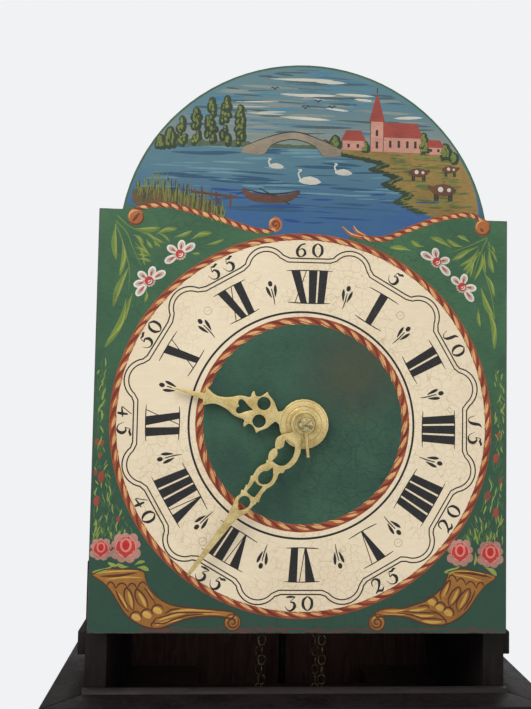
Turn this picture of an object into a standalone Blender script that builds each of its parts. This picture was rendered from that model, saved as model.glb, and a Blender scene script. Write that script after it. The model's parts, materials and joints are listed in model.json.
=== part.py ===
"""Frisian tail clock with its hood lifted off: case, dial, posted movement, pendulum, chain, weight.

Frame: +X right, +Y into the wall, +Z up. The origin lies on the wall, in line with the hands.
A depth is a distance from the wall, so a piece at depth d lies at y = -d.
All sizes are in metres.
"""

import math

import bmesh
import bpy

# Clearances
GAP = 0.0003  # between pieces that rest on each other
RUN = 0.0003  # round a pivot, a tube or a boss in its hole

# Case
CASE_WIDTH = 0.296
SIDE_THICK = 0.015
BACK_THICK = 0.012
SEAT_THICK = 0.015
FLOOR_THICK = 0.010
RAIL_THICK = 0.010
RAIL_RISE = 0.002  # rounded top of the front rail above the ledge
LEDGE_DROP = 0.185  # ledge top below the hands
LEDGE_OVERHANG = 0.0225
LEDGE_LIP = 0.007
LEDGE_FOOT = 0.0065
LEDGE_HEIGHT = 0.050
RUNNER_DROP = 0.148  # top of the hood runners below the hands
RUNNER_HEIGHT = 0.016
RUNNER_PROUD = 0.0057
RUNNER_INSET = 0.004
BACK_SHOULDER = 0.100
BACK_CROWN = 0.100  # height of the back board's rounded top above its shoulder
HANG_RADIUS = 0.008
HANG_DROP = 0.026  # hanging hole below the top of the back board
WING_HEIGHT = 0.085  # shaped wings of the back board below the console

# Tail
TAIL_WIDTH = 0.160
TAIL_WALL = 0.008
TAIL_INNER_DEPTH = 0.038
BELLY_RADIUS = 0.105
FLARE_RADIUS = 0.060
LENTICLE_RADIUS = 0.040
LENTICLE_LAND = 0.004
LENTICLE_RIM = 0.009
LENTICLE_PROUD = 0.005
GLASS_THICK = 0.002

# Movement frame
PENDULUM_TO_BAR = 0.0267
TRAIN_SPACE = 0.035
BAR_THICK = 0.004
BAR_HALF = 0.016
BAR_TENON = 0.004
BAR_RELIEF = 0.0004  # undercut of a bar's shoulder at its tenon
ARM_HALF = 0.006
FRAME_HALF = 0.0785  # half of the clear height between the plates
PLATE_THICK = 0.004
PLATE_HALF = 0.078
PLATE_EDGE = 0.010  # from a pillar's axis to the plate's edge
PILLAR_RADIUS = 0.007
PILLAR_WAIST = 0.0048
PILLAR_DRUM = 0.010
TENON_RADIUS = 0.0035
TENON_RISE = 0.002
CHAIN_HOLE = 0.0085

# Dial
MOTION_SPACE = 0.0304  # front bar to the back of the dial
DIAL_THICK = 0.0016
DIAL_PROUD = 0.012  # dial face in front of the side boards
DIAL_WIDTH = 0.290
DIAL_BOTTOM = 0.1438
DIAL_SHOULDER = 0.1475
SHOULDER_STEP = 0.016
ARCH_RISE = 0.108
FOOT_RADIUS = 0.0035

# Hands and their tubes
STUD_RADIUS = 0.0025
MINUTE_TUBE_WALL = 0.0014
HOUR_PIPE_WALL = 0.0020
HOUR_HAND_OFF = 0.0035  # dial face to the back of the hour hand
HAND_THICK = 0.0019
HANDS_APART = 0.0030
PIPE_END = 0.0010  # tube past its hand
WASHER_THICK = 0.0012
WASHER_RADIUS = 0.0065
PIN_RADIUS = 0.0017  # at the pin's thick upper end
PIN_LENGTH = 0.0265
PIN_ABOVE = 0.0045
PIN_LEAN = 0.10
HOUR_ANGLE = math.radians(284.5)
MINUTE_ANGLE = math.radians(217.0)

# Trains
MOTION_CLEAR = 0.00171875  # motion wheel to the bottom plate
GREAT_CLEAR = 0.0021975  # great wheels to the bottom plate
ADDENDUM = 0.95
DEDENDUM = 1.25
TOOTH_BASE = 0.64  # width of a tooth at its root, as a share of the pitch
LEAF_TIP = 0.22
LEAF_ROOT = 0.34
WHEEL_THICK = 0.0020
WHEEL_OFF = 0.005  # wheel to the next bar
GREAT_TEETH = 64
GREAT_PINION = 8
SECOND_TEETH = 72
SECOND_PINION = 6
SECOND_FINER = 15 / 19  # module against that of the great wheels
STRIKE_TEETH = 60
STRIKE_PINION = 6
STRIKE_FINER = 14 / 19
STRIKE_LEAN = math.radians(30)
COUNT_TEETH = 36
COUNT_PINION = 6
COUNT_COARSER = 22 / 19
COUNT_OFF = 0.0025
COUNT_PLATE_STEP = 0.0035
MOTION_TEETH = 32
MINUTE_TEETH = 16
MOTION_PINION = 8
HOUR_TEETH = 48
MOTION_OFF = 0.0033
HOUR_OFF = 0.011
ARBOR_RADIUS = 0.0025
FIRST_RADIUS = 0.0030
PIVOT_RADIUS = 0.0015
PIVOT_DEPTH = 0.0018
PINION_SPARE = 0.002  # pinion past each side of its wheel
HUB_RADIUS = 0.008
RIM = 0.0045
SPOKE = 0.005
HAMMER_PINS = 13
HAMMER_PIN_INSET = 0.0042125  # pins inside the roots of the great wheel's teeth
HAMMER_PIN_RADIUS = 0.0012
HAMMER_PIN_LENGTH = 0.0036

# Escapement and pendulum
ESCAPE_TEETH = 40
ESCAPE_RADIUS = 0.020
ESCAPE_THICK = 0.0016
ESCAPE_OFF = 0.013
ANCHOR_SPACING = 0.0283
ANCHOR_THICK = 0.0024
ANCHOR_RADIUS = 0.0020
CRUTCH_OFF = 0.008
CRUTCH_THICK = 0.0020
CRUTCH_LENGTH = 0.078
CRUTCH_HALF = 0.0025
PRONG_RADIUS = 0.0010
ROD_RADIUS = 0.0030
PENDULUM_LENGTH = 0.874
BOB_RADIUS = 0.038
BOB_THICK = 0.018
BOB_RIM = 0.009
NUT_RADIUS = 0.0075
NUT_HEIGHT = 0.006
SPRING_THICK = 0.0006
SPRING_WIDTH = 0.008
SPRING_LENGTH = 0.034
CHOPS_HALF = 0.0045
CHOPS_PROUD = 0.001
CHOPS_HEIGHT = 0.005
COCK_SLIT = 0.0016
COCK_HALF = 0.010
COCK_RISE = 0.009  # underside of the cock above the bending point
COCK_HEIGHT = 0.012

# Chain and weights
CHAIN_WHEEL_RADIUS = 0.023
CHAIN_RADIUS = 0.0042
CHAIN_FLANGE = 0.0018
CHAIN_RIM = 0.0035
WEIGHT_DROP = 0.500  # weight pulley below the hands
WEIGHT_RADIUS = 0.026
WEIGHT_LENGTH = 0.190
STIRRUP_STRAP = 0.0025
STIRRUP_WIDTH = 0.009
AXLE_RADIUS = 0.0022
RING_RADIUS = 0.013
RING_TUBE = 0.005

# Bell and levers
HAMMER_REACH = 0.052
HAMMER_TAIL_CLEAR = 0.0020
HAMMER_STEM = 0.0040
HAMMER_THICK = 0.0024
HAMMER_LIFT = math.radians(8)
HEAD_LENGTH = 0.0115
HEAD_RADIUS = 0.0050
BELL_RADIUS = 0.040
BELL_HEIGHT = 0.040
BELL_WALL = 0.0028
BELL_RISE = 0.018  # bell mouth above the top plate
BELL_CLEAR = 0.0025
POST_RADIUS = 0.0055
LIFTER_X = 0.045
LIFTER_DROP = 0.020
LIFTER_STUD = 0.0022

# Heights and depths that follow from the sizes above
PENDULUM_DEPTH = BACK_THICK + GAP + TAIL_INNER_DEPTH / 2
REAR_BAR = PENDULUM_DEPTH + PENDULUM_TO_BAR
MIDDLE_BAR = REAR_BAR + TRAIN_SPACE + BAR_THICK
FRONT_BAR = MIDDLE_BAR + TRAIN_SPACE + BAR_THICK
STRIKE_CHAIN = (REAR_BAR + MIDDLE_BAR) / 2
GOING_CHAIN = (MIDDLE_BAR + FRONT_BAR) / 2
DIAL_BACK = FRONT_BAR + BAR_THICK / 2 + MOTION_SPACE
DIAL_FACE = DIAL_BACK + DIAL_THICK
CASE_DEPTH = DIAL_FACE - DIAL_PROUD
RAIL_FRONT = CASE_DEPTH + GAP + RAIL_THICK
PLATE_OUT = FRAME_HALF + PLATE_THICK
SEAT_TOP = -PLATE_OUT - GAP
SIDE_TOP = SEAT_TOP - SEAT_THICK - GAP
LEDGE_TOP = -LEDGE_DROP
SIDE_BOTTOM = LEDGE_TOP - LEDGE_HEIGHT
CASE_HALF = CASE_WIDTH / 2
INNER_HALF = CASE_HALF - SIDE_THICK - GAP
TAIL_TOP = SIDE_BOTTOM - GAP
TAIL_FRONT = BACK_THICK + 2 * GAP + TAIL_INNER_DEPTH
PILLAR_X = PLATE_HALF - PLATE_EDGE
MOTION_TIP = (MOTION_TEETH + 2 * ADDENDUM) / (MOTION_TEETH + MINUTE_TEETH)
FIRST_DROP = (FRAME_HALF - MOTION_CLEAR) / (1 + MOTION_TIP)
GREAT_MODULE = (FRAME_HALF - FIRST_DROP - GREAT_CLEAR) / (GREAT_TEETH / 2 + ADDENDUM)
SECOND_MODULE = GREAT_MODULE * SECOND_FINER
STRIKE_MODULE = GREAT_MODULE * STRIKE_FINER
COUNT_MODULE = GREAT_MODULE * COUNT_COARSER
HAMMER_PIN_CIRCLE = GREAT_MODULE * (GREAT_TEETH / 2 - DEDENDUM) - HAMMER_PIN_INSET
FIRST_Z = -FIRST_DROP
SECOND_Z = FIRST_Z + GREAT_MODULE * (GREAT_TEETH + GREAT_PINION) / 2
ESCAPE_Z = SECOND_Z + SECOND_MODULE * (SECOND_TEETH + SECOND_PINION) / 2
ANCHOR_Z = ESCAPE_Z + ANCHOR_SPACING
BOB_Z = ANCHOR_Z - PENDULUM_LENGTH
FLY_SPAN = STRIKE_MODULE * (STRIKE_TEETH + STRIKE_PINION) / 2
FLY_X = FLY_SPAN * math.sin(STRIKE_LEAN)
FLY_Z = SECOND_Z + FLY_SPAN * math.cos(STRIKE_LEAN)
COUNT_Z = FIRST_Z + COUNT_MODULE * (COUNT_TEETH + COUNT_PINION) / 2
MOTION_MODULE = 2 * FIRST_DROP / (MOTION_TEETH + MINUTE_TEETH)
HOUR_MODULE = 2 * FIRST_DROP / (MOTION_PINION + HOUR_TEETH)
PULLEY_RADIUS = (GOING_CHAIN - STRIKE_CHAIN) / 2
WEIGHT_DEPTH = (GOING_CHAIN + STRIKE_CHAIN) / 2
PULLEY_Z = -WEIGHT_DROP
GROOVE_HALF = CHAIN_RADIUS + 0.0007
CHAIN_WHEEL_HALF = GROOVE_HALF + CHAIN_FLANGE
GROOVE_DEEP = CHAIN_RADIUS + 0.0006
HOUR_HAND_BACK = DIAL_FACE + HOUR_HAND_OFF
MINUTE_HAND_BACK = HOUR_HAND_BACK + HAND_THICK + HANDS_APART
MINUTE_BORE = STUD_RADIUS + RUN
MINUTE_TUBE = MINUTE_BORE + MINUTE_TUBE_WALL
HOUR_BORE = MINUTE_TUBE + RUN
HOUR_PIPE = HOUR_BORE + HOUR_PIPE_WALL
WASHER_BACK = MINUTE_HAND_BACK + HAND_THICK + PIPE_END + GAP
PIN_DEPTH = WASHER_BACK + WASHER_THICK + GAP + PIN_RADIUS
STUD_END = PIN_DEPTH + 2.5 * PIN_RADIUS

FACING = (math.pi / 2, 0.0, 0.0)
UP = math.pi / 2


def clear_scene():
    """Remove every object and make the two collections."""
    for obj in list(bpy.data.objects):
        bpy.data.objects.remove(obj, do_unlink=True)
    made = []
    for name in ("frisian_tail_clock", "cutters"):
        collection = bpy.data.collections.new(name)
        bpy.context.scene.collection.children.link(collection)
        made.append(collection)
    return made


PARTS, CUTTERS = clear_scene()


def principled(name, colour, roughness, metallic, alpha=1.0):
    """Return a Principled material with these values."""
    material = bpy.data.materials.new(name)
    material.use_nodes = True
    node = material.node_tree.nodes["Principled BSDF"]
    node.inputs["Base Color"].default_value = (*colour, 1.0)
    node.inputs["Roughness"].default_value = roughness
    node.inputs["Metallic"].default_value = metallic
    node.inputs["Alpha"].default_value = alpha
    return material


WOOD = principled("dark_varnished_wood", (0.030, 0.021, 0.017), 0.38, 0.0)
PAINT = principled("painted_iron", (0.72, 0.64, 0.47), 0.45, 0.0)
HAND_BRASS = principled("pale_brass", (0.66, 0.55, 0.28), 0.45, 0.9)
BRASS = principled("aged_brass", (0.50, 0.36, 0.13), 0.38, 1.0)
STEEL = principled("dark_steel", (0.23, 0.22, 0.21), 0.42, 1.0)
IRON = principled("black_iron", (0.09, 0.085, 0.08), 0.55, 0.8)
BRONZE = principled("bell_bronze", (0.48, 0.34, 0.17), 0.32, 1.0)
LEAD = principled("grey_lead", (0.22, 0.22, 0.23), 0.60, 0.6)
CHAIN = principled("chain_brass", (0.36, 0.27, 0.13), 0.45, 1.0)
GLASS = principled("clear_glass", (0.85, 0.90, 0.88), 0.05, 0.0, 0.25)


def polar(radius, angle, centre=(0.0, 0.0)):
    """Return the point at this radius and angle about a centre."""
    return (centre[0] + radius * math.cos(angle), centre[1] + radius * math.sin(angle))


def arc(radius, start, end, count, centre=(0.0, 0.0)):
    """Return count + 1 points along an arc."""
    return [polar(radius, start + (end - start) * i / count, centre) for i in range(count + 1)]


def circle(radius, centre=(0.0, 0.0), count=16):
    """Return a closed ring of points."""
    return arc(radius, 0.0, 2 * math.pi, count, centre)[:-1]


def box_loop(x0, y0, x1, y1):
    """Return the corners of a rectangle."""
    return [(x0, y0), (x1, y0), (x1, y1), (x0, y1)]


def place(name, data, material, at, turn):
    """Make an object of this data in the collection of parts."""
    obj = bpy.data.objects.new(name, data)
    PARTS.objects.link(obj)
    obj.location = at
    obj.rotation_euler = turn
    data.materials.append(material)
    return obj


def outline(name, loops, thick, material, at, turn):
    """Make a flat piece from closed loops: the first is its edge, the others are its holes."""
    curve = bpy.data.curves.new(name, "CURVE")
    curve.dimensions = "2D"
    curve.fill_mode = "BOTH"
    curve.extrude = thick / 2
    for loop in loops:
        spline = curve.splines.new("POLY")
        spline.points.add(len(loop) - 1)
        for point, (x, y) in zip(spline.points, loop):
            point.co = (x, y, 0.0, 1.0)
        spline.use_cyclic_u = True
    return place(name, curve, material, at, turn)


def flat(name, loops, back, front, material, at=(0.0, 0.0), angle=0.0):
    """Make an upright flat piece between two depths, facing the viewer and turned clockwise by angle."""
    where = (at[0], -(back + front) / 2, at[1])
    return outline(name, loops, front - back, material, where, (math.pi / 2, angle, 0.0))


def board(name, loops, low, high, material):
    """Make a level flat piece between two heights, its loops in x and y."""
    return outline(name, loops, high - low, material, (0.0, 0.0, (low + high) / 2), (0.0, 0.0, 0.0))


def turned(name, profile, material, at, turn, steps=20, ring=False):
    """Make a turned piece from (radius, height) points that run down its outer side."""
    mesh = bpy.data.meshes.new(name)
    edges = [(i, i + 1) for i in range(len(profile) - 1)]
    if ring:
        edges.append((len(profile) - 1, 0))
    mesh.from_pydata([(radius, 0.0, height) for radius, height in profile], edges, [])
    obj = place(name, mesh, material, at, turn)
    screw = obj.modifiers.new("Turn", "SCREW")
    screw.axis = "Z"
    screw.angle = 2 * math.pi
    screw.steps = steps
    screw.render_steps = steps
    screw.use_merge_vertices = True
    screw.merge_threshold = 0.00001
    return obj


def arbor(name, profile, material, at, steps=16, ring=False):
    """Make a turned piece on an axis square to the dial, its heights being depths."""
    return turned(name, profile, material, (at[0], 0.0, at[1]), FACING, steps, ring)


def post(name, profile, material, at, steps=16, ring=False):
    """Make an upright turned piece at this x and depth, its heights being world heights."""
    return turned(name, profile, material, (at[0], -at[1], 0.0), (0.0, 0.0, 0.0), steps, ring)


def stack(*sections):
    """Return the profile of (radius, low, high) sections that are listed from the top down."""
    points = [(0.0, sections[0][2])]
    for radius, low, high in sections:
        points += [(radius, high), (radius, low)]
    return points + [(0.0, sections[-1][1])]


def sleeve(bore, *sections):
    """Return the ring profile of sections, listed from the top down, with one bore through them."""
    points = []
    for radius, low, high in sections:
        points += [(radius, high), (radius, low)]
    return points + [(bore, sections[-1][1]), (bore, sections[0][2])]


def block(name, low, high, material):
    """Make a box between two corners."""
    mesh = bpy.data.meshes.new(name)
    made = bmesh.new()
    bmesh.ops.create_cube(made, size=1.0)
    size = [b - a for a, b in zip(low, high)]
    bmesh.ops.scale(made, vec=size, verts=made.verts)
    made.to_mesh(mesh)
    made.free()
    return place(name, mesh, material, [(a + b) / 2 for a, b in zip(low, high)], (0.0, 0.0, 0.0))


def pins(name, radius, low, high, points, material, at=(0.0, 0.0), sides=10):
    """Make round pins between two depths at these points, as one helper mesh."""
    mesh = bpy.data.meshes.new(name)
    made = bmesh.new()
    for x, z in points:
        cone = bmesh.ops.create_cone(
            made, cap_ends=True, segments=sides, radius1=radius, radius2=radius, depth=high - low
        )
        bmesh.ops.translate(made, verts=cone["verts"], vec=(x, z, (low + high) / 2))
    made.to_mesh(mesh)
    made.free()
    return place(name, mesh, material, (at[0], 0.0, at[1]), FACING)


def as_mesh(obj):
    """Turn a curve into a welded mesh object that keeps its name and place."""
    if obj.type == "MESH":
        return obj
    bpy.context.view_layer.update()
    graph = bpy.context.evaluated_depsgraph_get()
    mesh = bpy.data.meshes.new_from_object(obj.evaluated_get(graph))
    weld = bmesh.new()
    weld.from_mesh(mesh)
    bmesh.ops.remove_doubles(weld, verts=weld.verts, dist=0.000001)
    weld.to_mesh(mesh)
    weld.free()
    name, matrix = obj.name, obj.matrix_world.copy()
    material = obj.data.materials[0]
    bpy.data.objects.remove(obj, do_unlink=True)
    made = bpy.data.objects.new(name, mesh)
    PARTS.objects.link(made)
    made.matrix_world = matrix
    mesh.materials.clear()
    mesh.materials.append(material)
    return made


def combine(base, operation, *tools):
    """Join tools to a piece, or cut them out of it, with Boolean modifiers."""
    base = as_mesh(base)
    for tool in tools:
        tool = as_mesh(tool)
        PARTS.objects.unlink(tool)
        CUTTERS.objects.link(tool)
        tool.hide_render = True
        tool.display_type = "WIRE"
        step = base.modifiers.new(tool.name, "BOOLEAN")
        step.operation = operation
        step.object = tool
    return base


def join(base, *tools):
    """Fuse these pieces into one."""
    return combine(base, "UNION", *tools)


def cut(base, *tools):
    """Cut these shapes out of a piece."""
    return combine(base, "DIFFERENCE", *tools)


def wheel_loop(teeth, module, towards):
    """Return a wheel's edge: pointed teeth with flat gaps, one tooth towards this angle."""
    root = module * (teeth / 2 - DEDENDUM)
    tip = module * (teeth / 2 + ADDENDUM)
    pitch = 2 * math.pi / teeth
    half = TOOTH_BASE * pitch / 2
    points = []
    for i in range(teeth):
        at = towards + i * pitch
        points += [polar(root, at - half), polar(tip, at), polar(root, at + half)]
    return points


def pinion_loop(leaves, module, towards):
    """Return a pinion's edge: slim leaves with one gap towards this angle."""
    root = module * (leaves / 2 - DEDENDUM)
    tip = module * (leaves / 2 + 0.75)
    pitch = 2 * math.pi / leaves
    points = []
    for i in range(leaves):
        at = towards + (i + 0.5) * pitch
        low, high = LEAF_ROOT * pitch / 2, LEAF_TIP * pitch / 2
        points += [polar(root, at - low), polar(tip, at - high)]
        points += [polar(tip, at + high), polar(root, at + low)]
    return points


def crossings(inner, outer, count, start=0.0):
    """Return the openings between the spokes of a wheel."""
    loops = []
    for i in range(count):
        middle = start + (i + 0.5) * 2 * math.pi / count
        half = math.pi / count
        far = half - SPOKE / 2 / outer
        near = half - SPOKE / 2 / inner
        rim = arc(outer, middle - far, middle + far, 4)
        loops.append(rim + arc(inner, middle + near, middle - near, 1))
    return loops


def wheel_plate(name, teeth, module, towards, back, material, at=(0.0, 0.0), thick=None):
    """Make a crossed-out wheel with a central hole that its hub fills."""
    rim = module * (teeth / 2 - DEDENDUM) - RIM
    loops = [wheel_loop(teeth, module, towards), circle(HUB_RADIUS - 0.003, count=8)]
    loops += crossings(HUB_RADIUS + 0.003, rim, 4)
    return flat(name, loops, back, back + (thick or WHEEL_THICK), material, at)


def pinion(name, leaves, module, towards, back, front, material, at):
    """Make a solid pinion as a helper that is joined to its arbor."""
    return flat(name, [pinion_loop(leaves, module, towards)], back, front, material, at)


def tail_side_points(inset, top):
    """Return the right edge of the tail from its top to its lowest point, drawn in by an inset."""
    half = TAIL_WIDTH / 2 - inset
    belly = BELLY_RADIUS - inset
    flare = FLARE_RADIUS + inset
    across = half + flare
    rise = math.sqrt((belly + flare) ** 2 - across**2)
    turn = math.atan2(rise, across)
    centre = (across, BOB_Z + rise)
    points = [(half, top)]
    points += arc(flare, math.pi, math.pi + turn, 5, centre)
    points += arc(belly, turn, -UP, 14, (0.0, BOB_Z))[1:]
    return points


def mirrored(points):
    """Return these points on the other side, in reverse order."""
    return [(-x, y) for x, y in reversed(points)]


# Case
def build_case():
    """Make the boards of the case, its ledge, the hood runners and the tail."""
    wing_low = SIDE_BOTTOM - WING_HEIGHT
    wing_in = TAIL_WIDTH / 2
    wing = [
        (
            INNER_HALF - (INNER_HALF - wing_in) * math.sin(i * UP / 6),
            SIDE_BOTTOM - WING_HEIGHT * (1 - math.cos(i * UP / 6)),
        )
        for i in range(7)
    ]
    crown = [
        (INNER_HALF * math.cos(i * UP / 8), BACK_SHOULDER + BACK_CROWN * math.sin(i * UP / 8))
        for i in range(8, -1, -1)
    ]
    right = crown + wing + tail_side_points(0.0, wing_low)[1:]
    hang_z = BACK_SHOULDER + BACK_CROWN - HANG_DROP
    flat(
        "back_board",
        [right + mirrored(right)[1:-1], circle(HANG_RADIUS, (0.0, hang_z))],
        0.0,
        BACK_THICK,
        WOOD,
    )
    for name, sign in (("left", -1), ("right", 1)):
        x0, x1 = sorted((sign * (CASE_HALF - SIDE_THICK), sign * CASE_HALF))
        block("side_board_" + name, (x0, -CASE_DEPTH, SIDE_BOTTOM), (x1, 0.0, SIDE_TOP), WOOD)
        x0, x1 = sorted((sign * (CASE_HALF + GAP), sign * (CASE_HALF + GAP + RUNNER_PROUD)))
        low = -RUNNER_DROP - RUNNER_HEIGHT
        block(
            "hood_runner_" + name,
            (x0, -CASE_DEPTH + RUNNER_INSET, low),
            (x1, -BACK_THICK, low + RUNNER_HEIGHT),
            WOOD,
        )
    rail_top = LEDGE_TOP + RAIL_RISE
    round_top = arc(RAIL_THICK / 2, 0.0, math.pi, 8, (0.0, rail_top - RAIL_THICK / 2))
    rail = [(-RAIL_THICK / 2, SIDE_BOTTOM), (RAIL_THICK / 2, SIDE_BOTTOM)] + round_top
    outline(
        "front_rail",
        [rail],
        CASE_WIDTH,
        WOOD,
        (0.0, -CASE_DEPTH - GAP - RAIL_THICK / 2, 0.0),
        (math.pi / 2, 0.0, math.pi / 2),
    )
    holes = [
        circle(CHAIN_HOLE, (sign * CHAIN_WHEEL_RADIUS, -depth), 12)
        for sign in (-1, 1)
        for depth in (STRIKE_CHAIN, GOING_CHAIN)
    ]
    edge = box_loop(-CASE_HALF, -CASE_DEPTH + RUNNER_INSET, CASE_HALF, -TAIL_FRONT)
    board("seat_board", [edge] + holes, SEAT_TOP - SEAT_THICK, SEAT_TOP, WOOD)
    notch = TAIL_WIDTH / 2 - TAIL_WALL
    front, rear = -CASE_DEPTH, -BACK_THICK - GAP
    floor = [(-INNER_HALF, front), (INNER_HALF, front), (INNER_HALF, rear), (notch, rear)]
    floor += [(notch, -TAIL_FRONT), (-notch, -TAIL_FRONT), (-notch, rear), (-INNER_HALF, rear)]
    slots = []
    slot_front, slot_rear = -GOING_CHAIN - CHAIN_HOLE, -STRIKE_CHAIN + CHAIN_HOLE
    for sign in (-1, 1):
        x = sign * CHAIN_WHEEL_RADIUS
        slots.append(box_loop(x - CHAIN_HOLE, slot_front, x + CHAIN_HOLE, slot_rear))
    board("console_floor", [floor] + slots, SIDE_BOTTOM, SIDE_BOTTOM + FLOOR_THICK, WOOD)
    build_ledge()
    build_tail()


def moulding(name, length, low_mitre, high_mitre, at, turn):
    """Make a run of the ledge moulding along its own x, each end square or mitred."""
    lip = LEDGE_OVERHANG
    cove_wide = LEDGE_OVERHANG - LEDGE_FOOT
    cove_high = LEDGE_HEIGHT - 2 * LEDGE_LIP
    profile = [(0.0, 0.0), (lip, 0.0), (lip, -LEDGE_LIP)]
    for i in range(1, 7):
        turn_by = i * UP / 6
        sunk = LEDGE_LIP + cove_high * (1 - math.cos(turn_by))
        profile.append((lip - cove_wide * math.sin(turn_by), -sunk))
    profile += [(LEDGE_FOOT, -LEDGE_HEIGHT), (0.0, -LEDGE_HEIGHT)]
    made = bmesh.new()
    near = [made.verts.new((0.0, out, up)) for out, up in profile]
    face = made.faces.new(near)
    grown = bmesh.ops.extrude_face_region(made, geom=[face])["geom"]
    far = [item for item in grown if isinstance(item, bmesh.types.BMVert)]
    bmesh.ops.translate(made, verts=far, vec=(length, 0.0, 0.0))
    for vert in made.verts:
        if vert in far and high_mitre:
            vert.co.x += vert.co.y
        if vert not in far and low_mitre:
            vert.co.x -= vert.co.y
    bmesh.ops.recalc_face_normals(made, faces=made.faces)
    mesh = bpy.data.meshes.new(name)
    made.to_mesh(mesh)
    made.free()
    return place(name, mesh, WOOD, at, turn)


def build_ledge():
    """Make the three mouldings that carry the hood."""
    half = CASE_HALF + GAP
    front = RAIL_FRONT + GAP
    place = (half - GAP, -front, LEDGE_TOP)
    moulding("ledge_front", 2 * half - 2 * GAP, True, True, place, (0.0, 0.0, math.pi))
    moulding("ledge_left", front, True, False, (-half, -front, LEDGE_TOP), (0.0, 0.0, UP))
    moulding("ledge_right", front, False, True, (half, 0.0, LEDGE_TOP), (0.0, 0.0, -UP))


def build_tail():
    """Make the hollow tail with its round window."""
    outer = [(x if x > GAP / 2 else GAP / 2, z) for x, z in tail_side_points(0.0, TAIL_TOP)]
    inner = [(x if x > GAP / 2 else GAP / 2, z) for x, z in tail_side_points(TAIL_WALL, TAIL_TOP)]
    wall = outer + list(reversed(inner))
    back = BACK_THICK + GAP
    flat("tail_side_right", [wall], back, back + TAIL_INNER_DEPTH, WOOD)
    flat("tail_side_left", [mirrored(wall)], back, back + TAIL_INNER_DEPTH, WOOD)
    edge = tail_side_points(0.0, TAIL_TOP)
    window = circle(LENTICLE_RADIUS, (0.0, BOB_Z), 24)
    face = TAIL_FRONT + TAIL_WALL
    flat("tail_front", [edge + mirrored(edge)[1:], window], TAIL_FRONT, face, WOOD)
    glass = stack((LENTICLE_RADIUS - GAP, face - GLASS_THICK, face))
    arbor("lenticle_glass", glass, GLASS, (0.0, BOB_Z), 24)
    inside = LENTICLE_RADIUS - LENTICLE_LAND
    outside = LENTICLE_RADIUS + LENTICLE_RIM
    low = face + GAP
    rim = [
        (inside + 0.4 * (outside - inside), low + LENTICLE_PROUD),
        (outside, low + 0.5 * LENTICLE_PROUD),
        (outside, low),
        (inside, low),
        (inside, low + 0.5 * LENTICLE_PROUD),
    ]
    arbor("lenticle_ring", rim, BRASS, (0.0, BOB_Z), 24, ring=True)


# Dial and hands
def dial_loop():
    """Return the dial's edge, a square with a round arch."""
    half = DIAL_WIDTH / 2
    chord = half - SHOULDER_STEP
    radius = (chord**2 + ARCH_RISE**2) / (2 * ARCH_RISE)
    centre = (0.0, DIAL_SHOULDER + ARCH_RISE - radius)
    start = math.asin((radius - ARCH_RISE) / radius)
    arch = arc(radius, start, math.pi - start, 40, centre)
    square = [(-half, DIAL_SHOULDER), (-half, -DIAL_BOTTOM), (half, -DIAL_BOTTOM), (half, DIAL_SHOULDER)]
    return square + arch


def scaled(points, size):
    """Return millimetre points of a hand in metres, as (across, along)."""
    return [(across * size, along * size) for along, across in points]


def hour_hand_loops():
    """Return the pierced hour hand, pointing up."""
    size = 0.001
    side = [(19.0, 3.6), (20.0, 4.1), (21.5, 6.0), (23.5, 9.0), (25.0, 10.3), (27.0, 11.7), (29.0, 13.3)]
    side += [(30.2, 14.9), (31.4, 13.0), (33.0, 11.1), (35.0, 9.9), (37.0, 9.9), (38.2, 11.2), (38.8, 12.6)]
    side += [(39.8, 12.6), (40.4, 10.8), (40.4, 8.4), (42.0, 7.7), (45.0, 7.7), (48.0, 7.2), (50.0, 6.3)]
    side += [(52.5, 5.0), (55.0, 4.0), (58.0, 3.3), (60.5, 2.9), (63.0, 2.9), (66.0, 3.7), (69.0, 5.3)]
    side += [(71.7, 6.7), (71.2, 4.2), (71.6, 2.2), (80.0, 1.6), (90.0, 0.8), (94.5, 0.4)]
    boss = arc(17.2, math.radians(17), 2 * math.pi - math.radians(17), 24)
    edge = [(x, y) for x, y in boss]
    edge += [(along, -across) for along, across in side]
    edge += [(along, across) for along, across in reversed(side)]
    holes = [circle(4.6, (30.4, sign * 6.3), 16) for sign in (-1, 1)]
    heart = [(36.5, 0.0), (38.2, 0.8), (40.0, 1.7), (42.0, 3.0), (44.0, 4.5), (45.8, 5.1), (47.2, 4.5)]
    heart += [(47.9, 3.0), (47.5, 1.4), (46.2, 0.0)]
    heart += [(along, -across) for along, across in reversed(heart[1:-1])]
    loops = [scaled(edge, size), circle(HOUR_PIPE + RUN, count=20)]
    return loops + [scaled(loop, size) for loop in holes + [heart]]


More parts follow.
